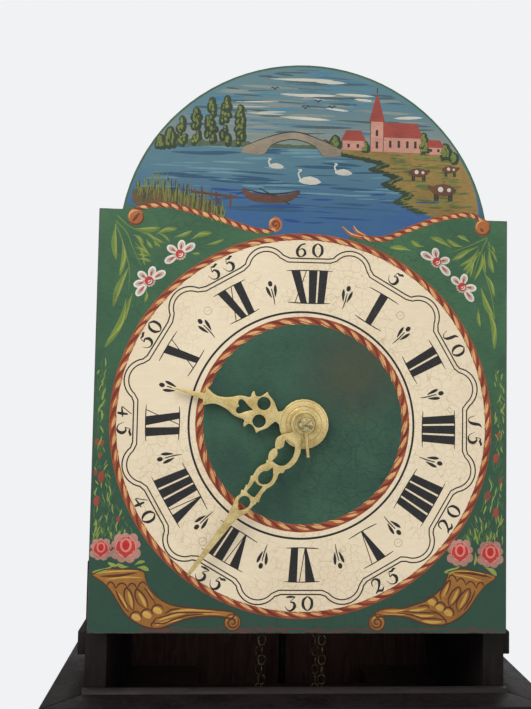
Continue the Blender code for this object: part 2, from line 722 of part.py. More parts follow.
def minute_hand_loops():
    """Return the pierced minute hand, pointing up, its smooth arm on the left and its beads on the right."""
    size = 0.001
    beaded = [(10.5, 4.0), (12.0, 5.4), (14.0, 7.3), (16.0, 8.5), (18.0, 9.2), (20.0, 9.2), (22.0, 8.4)]
    beaded += [(23.6, 7.3), (25.1, 6.0), (26.2, 6.9), (27.8, 7.3), (29.6, 7.4), (31.2, 6.9), (32.8, 6.1)]
    beaded += [(34.2, 5.0), (35.3, 5.7), (36.1, 5.3), (36.7, 4.5), (38.2, 5.2), (39.6, 6.2), (41.5, 7.0)]
    beaded += [(43.5, 7.3), (46.0, 7.1), (48.8, 6.6), (50.2, 7.6), (51.4, 6.9), (53.5, 6.1), (56.2, 5.6)]
    beaded += [(56.9, 6.7), (58.2, 6.0), (60.6, 5.6), (61.3, 6.9), (62.6, 6.3), (63.8, 5.6), (66.0, 6.3)]
    beaded += [(67.5, 6.5), (69.5, 6.0), (72.0, 5.3), (75.0, 4.6), (78.4, 4.2), (79.4, 3.3), (90.0, 2.6)]
    beaded += [(105.0, 2.1), (115.0, 1.7), (123.0, 1.4), (127.0, 0.8)]
    smooth = [(10.5, 5.1), (12.0, 5.9), (13.5, 7.2), (15.0, 8.4), (17.0, 9.6), (20.0, 10.4), (23.0, 11.0)]
    smooth += [(26.0, 10.9), (29.0, 10.3), (31.0, 9.4), (32.4, 8.2), (33.6, 8.6), (34.6, 8.7), (35.6, 8.1)]
    smooth += [(36.2, 6.9), (38.0, 6.6), (40.0, 7.5), (43.0, 8.0), (45.5, 8.1), (47.5, 7.5), (50.0, 6.4)]
    smooth += [(52.5, 6.2), (55.0, 6.0), (58.0, 6.7), (60.8, 7.7), (61.2, 6.4), (62.2, 6.5), (63.0, 6.8)]
    smooth += [(63.8, 6.3), (66.0, 5.9), (69.0, 5.9), (71.0, 5.7), (73.0, 5.0), (75.5, 3.8), (78.0, 3.0)]
    smooth += [(85.0, 2.4), (95.0, 2.0), (105.0, 1.7), (115.0, 1.5), (123.0, 1.3), (127.0, 0.9)]
    hub = arc(9.5, math.radians(20), 2 * math.pi - math.radians(20), 18)
    edge = hub + [(along, -across) for along, across in smooth] + [(128.6, 0.0)] + list(reversed(beaded))
    loop_hole = [(14.9, -0.2), (15.2, -2.8), (16.0, -4.2), (17.5, -5.2), (20.0, -6.5), (22.0, -7.2)]
    loop_hole += [(24.5, -7.5), (27.0, -7.3), (29.5, -6.8), (31.0, -5.9), (32.3, -4.4), (33.0, -2.8)]
    loop_hole += [(33.3, -0.1), (33.2, 2.5), (31.8, 2.3), (30.2, 1.9), (28.6, 1.9), (27.2, 2.3), (26.0, 3.4)]
    loop_hole += [(25.2, 4.4), (24.3, 3.9), (23.0, 3.0), (21.5, 2.3), (20.0, 2.4), (18.0, 3.4), (16.6, 4.1)]
    loop_hole += [(15.4, 2.9)]
    teardrop = [(36.1, -0.5), (37.0, -1.3), (38.5, -2.7), (40.5, -4.4), (43.0, -5.4), (45.5, -5.5)]
    teardrop += [(47.5, -4.7), (49.2, -3.2), (50.1, -1.3), (50.1, 0.5), (49.0, 2.4), (47.0, 3.5)]
    teardrop += [(44.5, 3.6), (43.0, 3.0), (41.5, 2.0), (40.5, 0.8), (39.3, 0.1), (37.8, -0.1)]
    window = [(50.6, -3.3), (51.4, -1.7), (51.7, -0.1), (51.5, 1.7), (50.9, 3.6), (55.0, 3.2), (59.2, 3.5)]
    window += [(60.0, 3.2), (60.5, 1.6), (60.6, 0.2), (60.4, -1.6), (60.0, -3.4), (55.5, -3.5)]
    eye = [(62.2, 0.3), (62.7, 2.2), (64.2, 3.7), (66.2, 4.3), (68.2, 4.1), (70.2, 3.0), (72.0, 1.4)]
    eye += [(73.3, -0.2), (72.0, -1.7), (70.2, -3.0), (68.2, -3.8), (66.2, -3.9), (64.2, -3.3), (62.8, -1.6)]
    holes = [scaled(loop, size) for loop in (loop_hole, teardrop, window, eye)]
    return [scaled(edge, size), circle(MINUTE_TUBE + RUN, count=20)] + holes


def build_dial():
    """Make the dial with its feet, the hands and what holds them."""
    loops = [dial_loop(), circle(HOUR_PIPE + 5 * RUN, count=24)]
    plate = flat("dial_plate", loops, DIAL_BACK, DIAL_FACE, PAINT)
    foot_z = FRAME_HALF - PILLAR_DRUM / 2
    spots = [(x * PILLAR_X, z * foot_z) for x in (-1, 1) for z in (-1, 1)]
    foot_back = FRONT_BAR + PILLAR_RADIUS + GAP
    feet = pins("dial_feet", FOOT_RADIUS, foot_back, DIAL_BACK + DIAL_THICK / 2, spots, IRON)
    join(plate, feet)
    flat(
        "hour_hand",
        hour_hand_loops(),
        HOUR_HAND_BACK,
        HOUR_HAND_BACK + HAND_THICK,
        HAND_BRASS,
        angle=HOUR_ANGLE,
    )
    flat(
        "minute_hand",
        minute_hand_loops(),
        MINUTE_HAND_BACK,
        MINUTE_HAND_BACK + HAND_THICK,
        HAND_BRASS,
        angle=MINUTE_ANGLE,
    )
    washer = sleeve(STUD_RADIUS + RUN, (WASHER_RADIUS, WASHER_BACK, WASHER_BACK + WASHER_THICK))
    arbor("hand_washer", washer, HAND_BRASS, (0.0, 0.0), 20, ring=True)
    lean = (0.0, math.pi - PIN_LEAN, 0.0)
    middle = PIN_LENGTH / 2 - PIN_ABOVE
    at = (middle * math.sin(PIN_LEAN), -PIN_DEPTH, -middle * math.cos(PIN_LEAN))
    bpy.ops.mesh.primitive_cone_add(
        vertices=12,
        radius1=PIN_RADIUS,
        radius2=0.65 * PIN_RADIUS,
        depth=PIN_LENGTH,
        location=at,
        rotation=lean,
    )
    claim("hand_pin", HAND_BRASS)


def claim(name, material):
    """Name the object that an operator has just added and put it with the parts."""
    obj = bpy.context.active_object
    for collection in list(obj.users_collection):
        collection.objects.unlink(obj)
    PARTS.objects.link(obj)
    obj.name = name
    obj.data.name = name
    obj.data.materials.append(material)
    return obj


# Movement frame
def bar_loop(left=None, right=None):
    """Return the edge of an upright bar with its tenons and an arm (height, reach) on either side."""
    half = FRAME_HALF - GAP
    relief = half - BAR_RELIEF
    low, high = -FRAME_HALF - PLATE_THICK, FRAME_HALF + PLATE_THICK + TENON_RISE
    points = [(-BAR_TENON, low), (BAR_TENON, low), (BAR_TENON, -relief), (BAR_HALF, -half)]
    if right:
        z, reach = right
        low_edge, high_edge = z - ARM_HALF, z + ARM_HALF
        points += [(BAR_HALF, low_edge), (reach, low_edge), (reach, high_edge), (BAR_HALF, high_edge)]
    points += [(BAR_HALF, half), (BAR_TENON, relief), (BAR_TENON, high)]
    points += [(-BAR_TENON, high), (-BAR_TENON, relief)]
    points.append((-BAR_HALF, half))
    if left:
        z, reach = left
        low_edge, high_edge = z - ARM_HALF, z + ARM_HALF
        points += [(-BAR_HALF, high_edge), (-reach, high_edge), (-reach, low_edge), (-BAR_HALF, low_edge)]
    return points + [(-BAR_HALF, -half), (-BAR_TENON, -relief)]


def build_frame():
    """Make the plates, pillars and bars of the movement."""
    rear, front = -(REAR_BAR - PLATE_EDGE), -(FRONT_BAR + PLATE_EDGE)
    edge = box_loop(-PLATE_HALF, front, PLATE_HALF, rear)
    tenons = [
        circle(TENON_RADIUS + RUN, (x * PILLAR_X, -depth), 12)
        for x in (-1, 1)
        for depth in (REAR_BAR, FRONT_BAR)
    ]
    half = BAR_THICK / 2 + GAP
    for depth in (REAR_BAR, MIDDLE_BAR, FRONT_BAR):
        tenons.append(box_loop(-BAR_TENON - GAP, -depth - half, BAR_TENON + GAP, -depth + half))
    chains = [
        circle(CHAIN_HOLE, (x * CHAIN_WHEEL_RADIUS, -depth), 12)
        for x in (-1, 1)
        for depth in (STRIKE_CHAIN, GOING_CHAIN)
    ]
    board("bottom_plate", [edge] + tenons + chains, -PLATE_OUT, -FRAME_HALF, IRON)
    swing = (FRAME_HALF + PLATE_THICK - FIRST_Z) * math.sin(HAMMER_LIFT)
    stem = HAMMER_STEM / 2 + 0.0015
    far = HAMMER_REACH + swing + stem
    slot = box_loop(HAMMER_REACH - stem, -STRIKE_CHAIN - stem, far, -STRIKE_CHAIN + stem)
    bell_hole = circle(TENON_RADIUS + RUN, (0.0, -STRIKE_CHAIN), 12)
    board("top_plate", [edge] + tenons + [slot, bell_hole], FRAME_HALF, PLATE_OUT, IRON)
    inner = FRAME_HALF - GAP
    drum = inner - PILLAR_DRUM
    profile = [(0.0, PLATE_OUT + TENON_RISE), (TENON_RADIUS, PLATE_OUT + TENON_RISE), (TENON_RADIUS, inner)]
    profile += [(PILLAR_RADIUS, inner), (PILLAR_RADIUS, drum), (PILLAR_WAIST, drum - 0.004)]
    profile += [(0.9 * PILLAR_RADIUS, 0.006), (0.9 * PILLAR_RADIUS, -0.006)]
    profile += [(PILLAR_WAIST, -drum + 0.004), (PILLAR_RADIUS, -drum), (PILLAR_RADIUS, -inner)]
    profile += [(TENON_RADIUS, -inner), (TENON_RADIUS, -PLATE_OUT), (0.0, -PLATE_OUT)]
    for side, x in (("left", -PILLAR_X), ("right", PILLAR_X)):
        for end, depth in (("rear", REAR_BAR), ("front", FRONT_BAR)):
            post("pillar_" + end + "_" + side, profile, IRON, (x, depth), 8)
    build_bars()


def build_bars():
    """Make the three bars that carry the arbors, with their fixed studs."""
    pivot = PIVOT_RADIUS + RUN
    journal = FIRST_RADIUS + RUN
    hammer_arm = (FIRST_Z, HAMMER_REACH + ARM_HALF)
    hammer_hole = circle(pivot, (HAMMER_REACH, FIRST_Z), 12)
    half = BAR_THICK / 2
    holes = [circle(journal, (0.0, FIRST_Z))]
    holes += [circle(pivot, (0.0, z), 12) for z in (SECOND_Z, ESCAPE_Z, ANCHOR_Z)]
    lifter_arm = (-LIFTER_DROP, LIFTER_X + ARM_HALF)
    bar = flat("front_bar", [bar_loop(left=lifter_arm)] + holes, FRONT_BAR - half, FRONT_BAR + half, IRON)
    stud = arbor("centre_stud", stack((STUD_RADIUS, FRONT_BAR, STUD_END)), IRON, (0.0, 0.0), 16)
    lifter_end = FRONT_BAR + half + MOTION_OFF - GAP
    lifter = arbor(
        "lifter_stud", stack((LIFTER_STUD, FRONT_BAR, lifter_end)), IRON, (-LIFTER_X, -LIFTER_DROP), 12
    )
    bar = join(bar, stud, lifter)
    bpy.ops.mesh.primitive_cylinder_add(
        vertices=12,
        radius=PIN_RADIUS + RUN,
        depth=4 * STUD_RADIUS,
        location=(0.0, -PIN_DEPTH, 0.0),
        rotation=(0.0, math.pi - PIN_LEAN, 0.0),
    )
    cut(bar, claim("pin_hole", IRON))
    holes = [circle(pivot, (0.0, z), 12) for z in (FIRST_Z, SECOND_Z, ESCAPE_Z)]
    holes += [circle(ANCHOR_RADIUS + 5 * RUN, (0.0, ANCHOR_Z))]
    holes += [circle(pivot, (FLY_X, FLY_Z), 12), hammer_hole]
    flat("middle_bar", [bar_loop(right=hammer_arm)] + holes, MIDDLE_BAR - half, MIDDLE_BAR + half, IRON)
    holes = [circle(journal, (0.0, FIRST_Z)), circle(pivot, (0.0, SECOND_Z), 12)]
    holes += [circle(pivot, (FLY_X, FLY_Z), 12), circle(ANCHOR_RADIUS + RUN, (0.0, ANCHOR_Z)), hammer_hole]
    bar = flat("rear_bar", [bar_loop(right=hammer_arm)] + holes, REAR_BAR - half, REAR_BAR + half, IRON)
    stud_end = REAR_BAR - half - COUNT_OFF - WHEEL_THICK - COUNT_PLATE_STEP / 2 - 0.0005
    stud = arbor("count_stud", stack((STUD_RADIUS, stud_end, REAR_BAR)), IRON, (0.0, COUNT_Z), 14)
    join(bar, stud)


# Motion work
def build_motion():
    """Make the wheels between the movement and the dial."""
    back = FRONT_BAR + BAR_THICK / 2 + MOTION_OFF
    hour_back = FRONT_BAR + BAR_THICK / 2 + HOUR_OFF
    first = (0.0, FIRST_Z)
    seat = FIRST_RADIUS - 0.0002
    plate = wheel_plate("motion_wheel", MOTION_TEETH, MOTION_MODULE, UP, back, BRASS, first)
    hub_front = hour_back - PINION_SPARE
    leaf_front = hour_back + WHEEL_THICK + PINION_SPARE
    hub = sleeve(seat + RUN, (HUB_RADIUS - 0.002, back - 0.0005, hub_front))
    collar = arbor("motion_collar", hub, BRASS, first, 12, ring=True)
    leaves = flat(
        "motion_pinion",
        [pinion_loop(MOTION_PINION, HOUR_MODULE, UP), circle(seat + 2 * RUN)],
        hub_front - 0.0005,
        leaf_front,
        BRASS,
        first,
    )
    join(plate, collar, leaves)
    gear = flat(
        "minute_tube",
        [pinion_loop(MINUTE_TEETH, MOTION_MODULE, -UP), circle(MINUTE_TUBE - 0.0006)],
        back,
        back + WHEEL_THICK,
        BRASS,
    )
    tube_end = MINUTE_HAND_BACK + HAND_THICK + PIPE_END
    tube = sleeve(MINUTE_BORE, (MINUTE_TUBE, back - 0.0005, tube_end))
    join(gear, arbor("minute_pipe", tube, BRASS, (0.0, 0.0), 16, ring=True))
    wheel = wheel_plate("hour_wheel", HOUR_TEETH, HOUR_MODULE, -UP, hour_back, BRASS)
    pipe_end = HOUR_HAND_BACK + HAND_THICK + PIPE_END
    pipe = sleeve(
        HOUR_BORE,
        (HOUR_PIPE, hour_back + WHEEL_THICK + 0.002, pipe_end),
        (HUB_RADIUS + 0.001, hour_back - 0.0005, hour_back + WHEEL_THICK + 0.002),
    )
    join(wheel, arbor("hour_pipe", pipe, BRASS, (0.0, 0.0), 20, ring=True))


# Trains
def plain_arbor(name, at, rear, front, pinion_back, pinion_front, leaves, module, towards):
    """Make an arbor with pivots in two bars and a pinion cut on it."""
    core = module * (leaves / 2 - DEDENDUM) * 0.8
    inset = BAR_THICK / 2 + GAP
    low, high = rear + inset, front - inset
    profile = stack(
        (PIVOT_RADIUS, high, high + PIVOT_DEPTH),
        (ARBOR_RADIUS, pinion_front, high),
        (core, pinion_back, pinion_front),
        (ARBOR_RADIUS, low, pinion_back),
        (PIVOT_RADIUS, low - PIVOT_DEPTH, low),
    )
    shaft = arbor(name, profile, STEEL, at, 10)
    spare = 0.0004
    leaf = pinion(
        name + "_pinion", leaves, module, towards, pinion_back - spare, pinion_front + spare, STEEL, at
    )
    return join(shaft, leaf)


def chain_wheel_sections(depth):
    """Return the flanges and groove of a chain wheel, from front to rear."""
    groove = CHAIN_WHEEL_RADIUS - GROOVE_DEEP
    flange = CHAIN_WHEEL_RADIUS + CHAIN_RIM
    return [
        (flange, depth + GROOVE_HALF, depth + CHAIN_WHEEL_HALF),
        (groove, depth - GROOVE_HALF, depth + GROOVE_HALF),
        (flange, depth - CHAIN_WHEEL_HALF, depth - GROOVE_HALF),
    ]


def mounted_wheel(name, teeth, module, towards, back, at, bore, hub_length):
    """Make a crossed-out wheel with a hub on its arbor."""
    plate = wheel_plate(name, teeth, module, towards, back, BRASS, at)
    hub = sleeve(bore, (HUB_RADIUS - 0.001, back - 0.0005, back + hub_length))
    return join(plate, arbor(name + "_hub", hub, BRASS, at, 12, ring=True))


def build_going():
    """Make the going train."""
    half = BAR_THICK / 2
    first, second, escape = (0.0, FIRST_Z), (0.0, SECOND_Z), (0.0, ESCAPE_Z)
    low = MIDDLE_BAR + half + GAP
    shoulder = FRONT_BAR + half + 0.001
    end = FRONT_BAR + half + HOUR_OFF + WHEEL_THICK + PINION_SPARE + 0.001
    profile = stack(
        (FIRST_RADIUS - 0.0002, shoulder, end),
        (FIRST_RADIUS, low, shoulder),
        (PIVOT_RADIUS, low - PIVOT_DEPTH, low),
    )
    arbor("going_first_arbor", profile, STEEL, first, 12)
    great = MIDDLE_BAR + half + WHEEL_OFF
    plate = wheel_plate("going_great_wheel", GREAT_TEETH, GREAT_MODULE, UP, great, BRASS, first)
    hub = (HUB_RADIUS + 0.001, great - 0.0005, GOING_CHAIN - CHAIN_WHEEL_HALF)
    wheel = sleeve(FIRST_RADIUS + RUN, *chain_wheel_sections(GOING_CHAIN), hub)
    join(plate, arbor("going_chain_wheel", wheel, BRASS, first, 18, ring=True))
    leaf = (great - PINION_SPARE, great + WHEEL_THICK + PINION_SPARE)
    plain_arbor("going_second_arbor", second, MIDDLE_BAR, FRONT_BAR, *leaf, GREAT_PINION, GREAT_MODULE, -UP)
    back = FRONT_BAR - half - WHEEL_OFF - WHEEL_THICK
    bore = ARBOR_RADIUS + RUN
    mounted_wheel("going_second_wheel", SECOND_TEETH, SECOND_MODULE, UP, back, second, bore, 0.0035)
    leaf = (back - PINION_SPARE, back + WHEEL_THICK + PINION_SPARE)
    plain_arbor("escape_arbor", escape, MIDDLE_BAR, FRONT_BAR, *leaf, SECOND_PINION, SECOND_MODULE, -UP)
    back = MIDDLE_BAR + half + ESCAPE_OFF
    points = []
    for i in range(ESCAPE_TEETH):
        at = UP + i * 2 * math.pi / ESCAPE_TEETH
        points += [polar(ESCAPE_RADIUS, at), polar(0.86 * ESCAPE_RADIUS, at + 0.018)]
    loops = [points, circle(HUB_RADIUS - 0.004, count=8)]
    loops += crossings(HUB_RADIUS - 0.001, 0.86 * ESCAPE_RADIUS - 0.0025, 4)
    plate = flat("escape_wheel", loops, back, back + ESCAPE_THICK, BRASS, escape)
    hub = sleeve(bore, (HUB_RADIUS - 0.0025, back - 0.0005, back + 0.003))
    join(plate, arbor("escape_hub", hub, BRASS, escape, 14, ring=True))


def build_strike():
    """Make the striking train and its count wheel."""
    half = BAR_THICK / 2
    first, second = (0.0, FIRST_Z), (0.0, SECOND_Z)
    count_back = REAR_BAR - half - COUNT_OFF - WHEEL_THICK
    high = MIDDLE_BAR - half - GAP
    low = count_back - 0.0015
    core = COUNT_MODULE * (COUNT_PINION / 2 - DEDENDUM) * 0.8
    leaf_top = REAR_BAR - half - 0.001
    profile = stack(
        (PIVOT_RADIUS, high, high + PIVOT_DEPTH),
        (FIRST_RADIUS, leaf_top, high),
        (core, low, leaf_top),
    )
    shaft = arbor("strike_first_arbor", profile, STEEL, first, 12)
    leaves = pinion(
        "count_pinion", COUNT_PINION, COUNT_MODULE, UP, low - 0.0004, leaf_top + 0.0004, STEEL, first
    )
    join(shaft, leaves)
    great = REAR_BAR + half + WHEEL_OFF
    plate = wheel_plate("strike_great_wheel", GREAT_TEETH, GREAT_MODULE, UP, great, BRASS, first)
    bore = FIRST_RADIUS + RUN
    hub = sleeve(bore, (HUB_RADIUS - 0.001, great - 0.0005, STRIKE_CHAIN - CHAIN_WHEEL_HALF - GAP))
    spots = [polar(HAMMER_PIN_CIRCLE, 2 * math.pi * (i + 0.5) / HAMMER_PINS) for i in range(HAMMER_PINS)]
    lift = pins(
        "hammer_pins", HAMMER_PIN_RADIUS, great - HAMMER_PIN_LENGTH, great + 0.0005, spots, STEEL, first, 6
    )
    join(plate, arbor("strike_great_hub", hub, BRASS, first, 12, ring=True), lift)
    wheel = sleeve(bore, *chain_wheel_sections(STRIKE_CHAIN))
    arbor("strike_chain_wheel", wheel, BRASS, first, 18, ring=True)
    leaf = (great - PINION_SPARE, great + WHEEL_THICK + PINION_SPARE)
    plain_arbor("strike_second_arbor", second, REAR_BAR, MIDDLE_BAR, *leaf, GREAT_PINION, GREAT_MODULE, -UP)
    back = MIDDLE_BAR - half - WHEEL_OFF - WHEEL_THICK
    towards = UP - STRIKE_LEAN
    bore = ARBOR_RADIUS + RUN
    mounted_wheel("strike_second_wheel", STRIKE_TEETH, STRIKE_MODULE, towards, back, second, bore, 0.0035)
    fly_at = (FLY_X, FLY_Z)
    leaf = (back - PINION_SPARE, back + WHEEL_THICK + PINION_SPARE)
    fly = plain_arbor(
        "fly", fly_at, REAR_BAR, MIDDLE_BAR, *leaf, STRIKE_PINION, STRIKE_MODULE, towards + math.pi
    )
    reach = FLY_SPAN - ARBOR_RADIUS - 0.0025
    vane = flat(
        "fly_vane",
        [box_loop(-reach, -0.0006, reach, 0.0006)],
        REAR_BAR + half + WHEEL_OFF + WHEEL_THICK + 0.003,
        back - PINION_SPARE - 0.003,
        BRASS,
        fly_at,
    )
    join(fly, vane)
    build_count_wheel(count_back)


def build_count_wheel(back):
    """Make the count wheel: a toothed wheel with a notched plate behind it."""
    at = (0.0, COUNT_Z)
    root = COUNT_MODULE * (COUNT_TEETH / 2 - DEDENDUM)
    plate = flat(
        "count_wheel",
        [wheel_loop(COUNT_TEETH, COUNT_MODULE, -UP), circle(STUD_RADIUS + 0.0018)],
        back,
        back + WHEEL_THICK,
        BRASS,
        at,
    )
    outer = root - COUNT_PLATE_STEP
    strokes = 0
    loop = []
    for hour in range(1, 13):
        start = 2 * math.pi * strokes / 78
        strokes += hour
        end = 2 * math.pi * strokes / 78
        notch = 2 * math.pi / 78 * 0.6
        steps = max(1, hour // 3)
        loop += arc(outer, start + notch, end, steps) + arc(outer - 0.003, end, end + notch, 1)
    rear = back - COUNT_PLATE_STEP / 2
    notched = flat("count_plate", [loop, circle(STUD_RADIUS + 0.0018)], rear, back + 0.0004, BRASS, at)
    hub = sleeve(STUD_RADIUS + RUN, (STUD_RADIUS + 0.0035, rear - 0.0003, back + WHEEL_THICK + 0.0005))
    join(plate, notched, arbor("count_hub", hub, BRASS, at, 14, ring=True))


# Escapement and pendulum
def build_pendulum():
    """Make the anchor with its arbor, the crutch, the suspension and the pendulum."""
    half = BAR_THICK / 2
    at = (0.0, ANCHOR_Z)
    high = FRONT_BAR - half - GAP
    crutch_front = REAR_BAR - half - CRUTCH_OFF
    crutch_back = crutch_front - CRUTCH_THICK
    low = crutch_back - 0.0015
    profile = stack((PIVOT_RADIUS, high, high + PIVOT_DEPTH), (ANCHOR_RADIUS, low, high))
    shaft = arbor("anchor", profile, STEEL, at, 14)
    reach = ANCHOR_SPACING / 0.0283 * 0.001
    side = [(4.0, 4.2), (13.0, -1.2), (19.6, -9.0), (20.6, -14.6)]
    side += [(15.7, -13.6), (17.0, -10.8), (11.5, -5.4), (5.0, -4.4)]
    side = [(x * reach, y * reach) for x, y in side]
    loop = [(0.0, 5.0 * reach)] + side + [(0.0, -5.0 * reach)] + mirrored(side)
    back = MIDDLE_BAR + half + ESCAPE_OFF + ESCAPE_THICK / 2 - ANCHOR_THICK / 2
    join(shaft, flat("anchor_arms", [loop], back, back + ANCHOR_THICK, STEEL, at))
    foot = -CRUTCH_LENGTH
    prong_x = ROD_RADIUS + GAP + PRONG_RADIUS
    wide = prong_x + 2 * PRONG_RADIUS
    head = arc(0.005, math.asin(CRUTCH_HALF / 0.005) - UP, 3 * UP - math.asin(CRUTCH_HALF / 0.005), 12)
    strip = head + [(-CRUTCH_HALF, foot + 0.006), (-wide, foot + 0.006), (-wide, foot), (wide, foot)]
    strip += [(wide, foot + 0.006), (CRUTCH_HALF, foot + 0.006)]
    crutch = flat("crutch", [strip, circle(ANCHOR_RADIUS + RUN)], crutch_back, crutch_front, STEEL, at)
    spots = [(-prong_x, foot + 0.003), (prong_x, foot + 0.003)]
    prongs = pins(
        "crutch_prongs",
        PRONG_RADIUS,
        PENDULUM_DEPTH - ROD_RADIUS - 0.001,
        crutch_back + CRUTCH_THICK / 2,
        spots,
        STEEL,
        at,
        8,
    )
    join(crutch, prongs)
    build_suspension()


def build_suspension():
    """Make the cock on the back board and the pendulum that hangs in its slit."""
    cock_low = ANCHOR_Z + COCK_RISE
    cock_high = cock_low + COCK_HEIGHT
    cock_front = PENDULUM_DEPTH + SPRING_WIDTH
    cock = block(
        "suspension_cock",
        (-COCK_HALF, -cock_front, cock_low),
        (COCK_HALF, -BACK_THICK - GAP, cock_high),
        IRON,
    )
    slit_rear = PENDULUM_DEPTH - SPRING_WIDTH / 2 - 0.001
    slit = block(
        "cock_slit",
        (-COCK_SLIT, -cock_front - 0.001, cock_low - 0.001),
        (COCK_SLIT, -slit_rear, cock_high + 0.001),
        IRON,
    )
    cut(cock, slit)
    rod_top = cock_low - 0.004 - SPRING_LENGTH / 2
    bob_low = BOB_Z - BOB_RADIUS
    nut_high = bob_low - GAP
    rod_low = nut_high - NUT_HEIGHT - 0.012
    rod = post("pendulum_rod", stack((ROD_RADIUS, rod_low, rod_top)), STEEL, (0.0, PENDULUM_DEPTH), 12)
    chops_low = cock_high + 2 * GAP
    rear, front = -PENDULUM_DEPTH + SPRING_WIDTH / 2, -PENDULUM_DEPTH - SPRING_WIDTH / 2
    spring = block(
        "suspension_spring",
        (-SPRING_THICK / 2, front, rod_top - 0.008),
        (SPRING_THICK / 2, rear, chops_low + 0.001),
        STEEL,
    )
    chops = block(
        "spring_chops",
        (-CHOPS_HALF, front - CHOPS_PROUD, chops_low),
        (CHOPS_HALF, rear + CHOPS_PROUD, chops_low + CHOPS_HEIGHT),
        STEEL,
    )
    join(rod, spring, chops)
    lens = [(0.0, BOB_THICK / 2), (0.55 * BOB_RADIUS, 0.46 * BOB_THICK), (BOB_RADIUS, BOB_RIM / 2)]
    lens += [(BOB_RADIUS, -BOB_RIM / 2), (0.55 * BOB_RADIUS, -0.46 * BOB_THICK), (0.0, -BOB_THICK / 2)]
    lens = [(radius, PENDULUM_DEPTH + height) for radius, height in lens]
    bob = arbor("pendulum_bob", lens, BRASS, (0.0, BOB_Z), 24)
    hole = stack((ROD_RADIUS + RUN, BOB_Z - 2 * BOB_RADIUS, BOB_Z + 2 * BOB_RADIUS))
    cut(bob, post("bob_hole", hole, IRON, (0.0, PENDULUM_DEPTH), 12))
    nut = sleeve(ROD_RADIUS + RUN, (NUT_RADIUS, nut_high - NUT_HEIGHT, nut_high))
    nut = post("rating_nut", nut, BRASS, (0.0, PENDULUM_DEPTH), 12, ring=True)
    hang("pendulum_pivot", (0.0, -PENDULUM_DEPTH, ANCHOR_Z), rod, bob, nut)


def hang(name, at, *pieces):
    """Parent pieces that move together to an empty on their joint's axis."""
    pivot = bpy.data.objects.new(name, None)
    PARTS.objects.link(pivot)
    pivot.location = at
    bpy.context.view_layer.update()
    for piece in pieces:
        piece.parent = pivot
        piece.matrix_parent_inverse = pivot.matrix_world.inverted()


# Bell and levers
def build_bell():
    """Make the bell, its post, the hammer and the lifting piece."""
    mouth = PLATE_OUT + BELL_RISE
    crown = mouth + BELL_HEIGHT
    hole = TENON_RADIUS + RUN
    shape = [(0.18, 1.0), (0.45, 0.97), (0.68, 0.86), (0.80, 0.66), (0.87, 0.38), (0.94, 0.14), (1.0, 0.0)]
    outer = [(BELL_RADIUS * r, mouth + BELL_HEIGHT * h) for r, h in shape]
    outer[0] = (hole, crown)
    inner = []
    for radius, height in reversed(outer[1:]):
        share = (height - mouth) / BELL_HEIGHT
        inner.append((radius - BELL_WALL * (1 - 0.7 * share), height - 0.85 * BELL_WALL * share))
    inner[0] = (BELL_RADIUS - BELL_WALL, mouth)
    inner.append((hole, crown - BELL_WALL))
    post("bell", outer + inner, BRONZE, (0.0, STRIKE_CHAIN), 20, ring=True)
    shoulder = crown - BELL_WALL - GAP
    profile = stack(
        (TENON_RADIUS, shoulder, crown + 0.007),
        (POST_RADIUS, PLATE_OUT + GAP, shoulder),
        (TENON_RADIUS, FRAME_HALF, PLATE_OUT + GAP),
    )
    post("bell_post", profile, STEEL, (0.0, STRIKE_CHAIN), 12)
    build_hammer(mouth)
    lifter = [(-0.006, -0.003), (0.004, -0.0045), (0.022, -0.010)]
    lifter += [(0.026, -0.0085), (0.006, 0.004), (-0.006, 0.003)]
    rear = FRONT_BAR + BAR_THICK / 2 + 0.0006
    flat(
        "lifting_piece",
        [lifter, circle(LIFTER_STUD + RUN, count=12)],
        rear,
        rear + 0.0018,
        STEEL,
        (-LIFTER_X, -LIFTER_DROP),
    )


def build_hammer(mouth):
    """Make the hammer: an arbor with a tail at the pin wheel and a stem up to the bell."""
    half = BAR_THICK / 2
    at = (HAMMER_REACH, FIRST_Z)
    low, high = REAR_BAR + half + GAP, MIDDLE_BAR - half - GAP
    profile = stack(
        (PIVOT_RADIUS, high, high + PIVOT_DEPTH),
        (ARBOR_RADIUS, low, high),
        (PIVOT_RADIUS, low - PIVOT_DEPTH, low),
    )
    shaft = arbor("hammer", profile, STEEL, at, 12)
    tip = HAMMER_PIN_CIRCLE + HAMMER_PIN_RADIUS + HAMMER_TAIL_CLEAR - HAMMER_REACH
    tail_low = low + 0.0008
    tail = flat(
        "hammer_tail",
        [box_loop(tip, -0.002, 0.004, 0.002)],
        tail_low,
        tail_low + HAMMER_THICK,
        STEEL,
        at,
    )
    head_z = mouth + 0.10 * BELL_HEIGHT
    stem = flat(
        "hammer_stem",
        [box_loop(-HAMMER_STEM / 2, -0.004, HAMMER_STEM / 2, head_z - FIRST_Z)],
        STRIKE_CHAIN - HAMMER_THICK / 2,
        STRIKE_CHAIN + HAMMER_THICK / 2,
        STEEL,
        at,
    )
    face = BELL_RADIUS + BELL_CLEAR
    bpy.ops.mesh.primitive_cylinder_add(
        vertices=14,
        radius=HEAD_RADIUS,
        depth=HEAD_LENGTH,
        location=(face + HEAD_LENGTH / 2, -STRIKE_CHAIN, head_z),
        rotation=(0.0, UP, 0.0),
    )
    join(shaft, tail, stem, claim("hammer_head", STEEL))


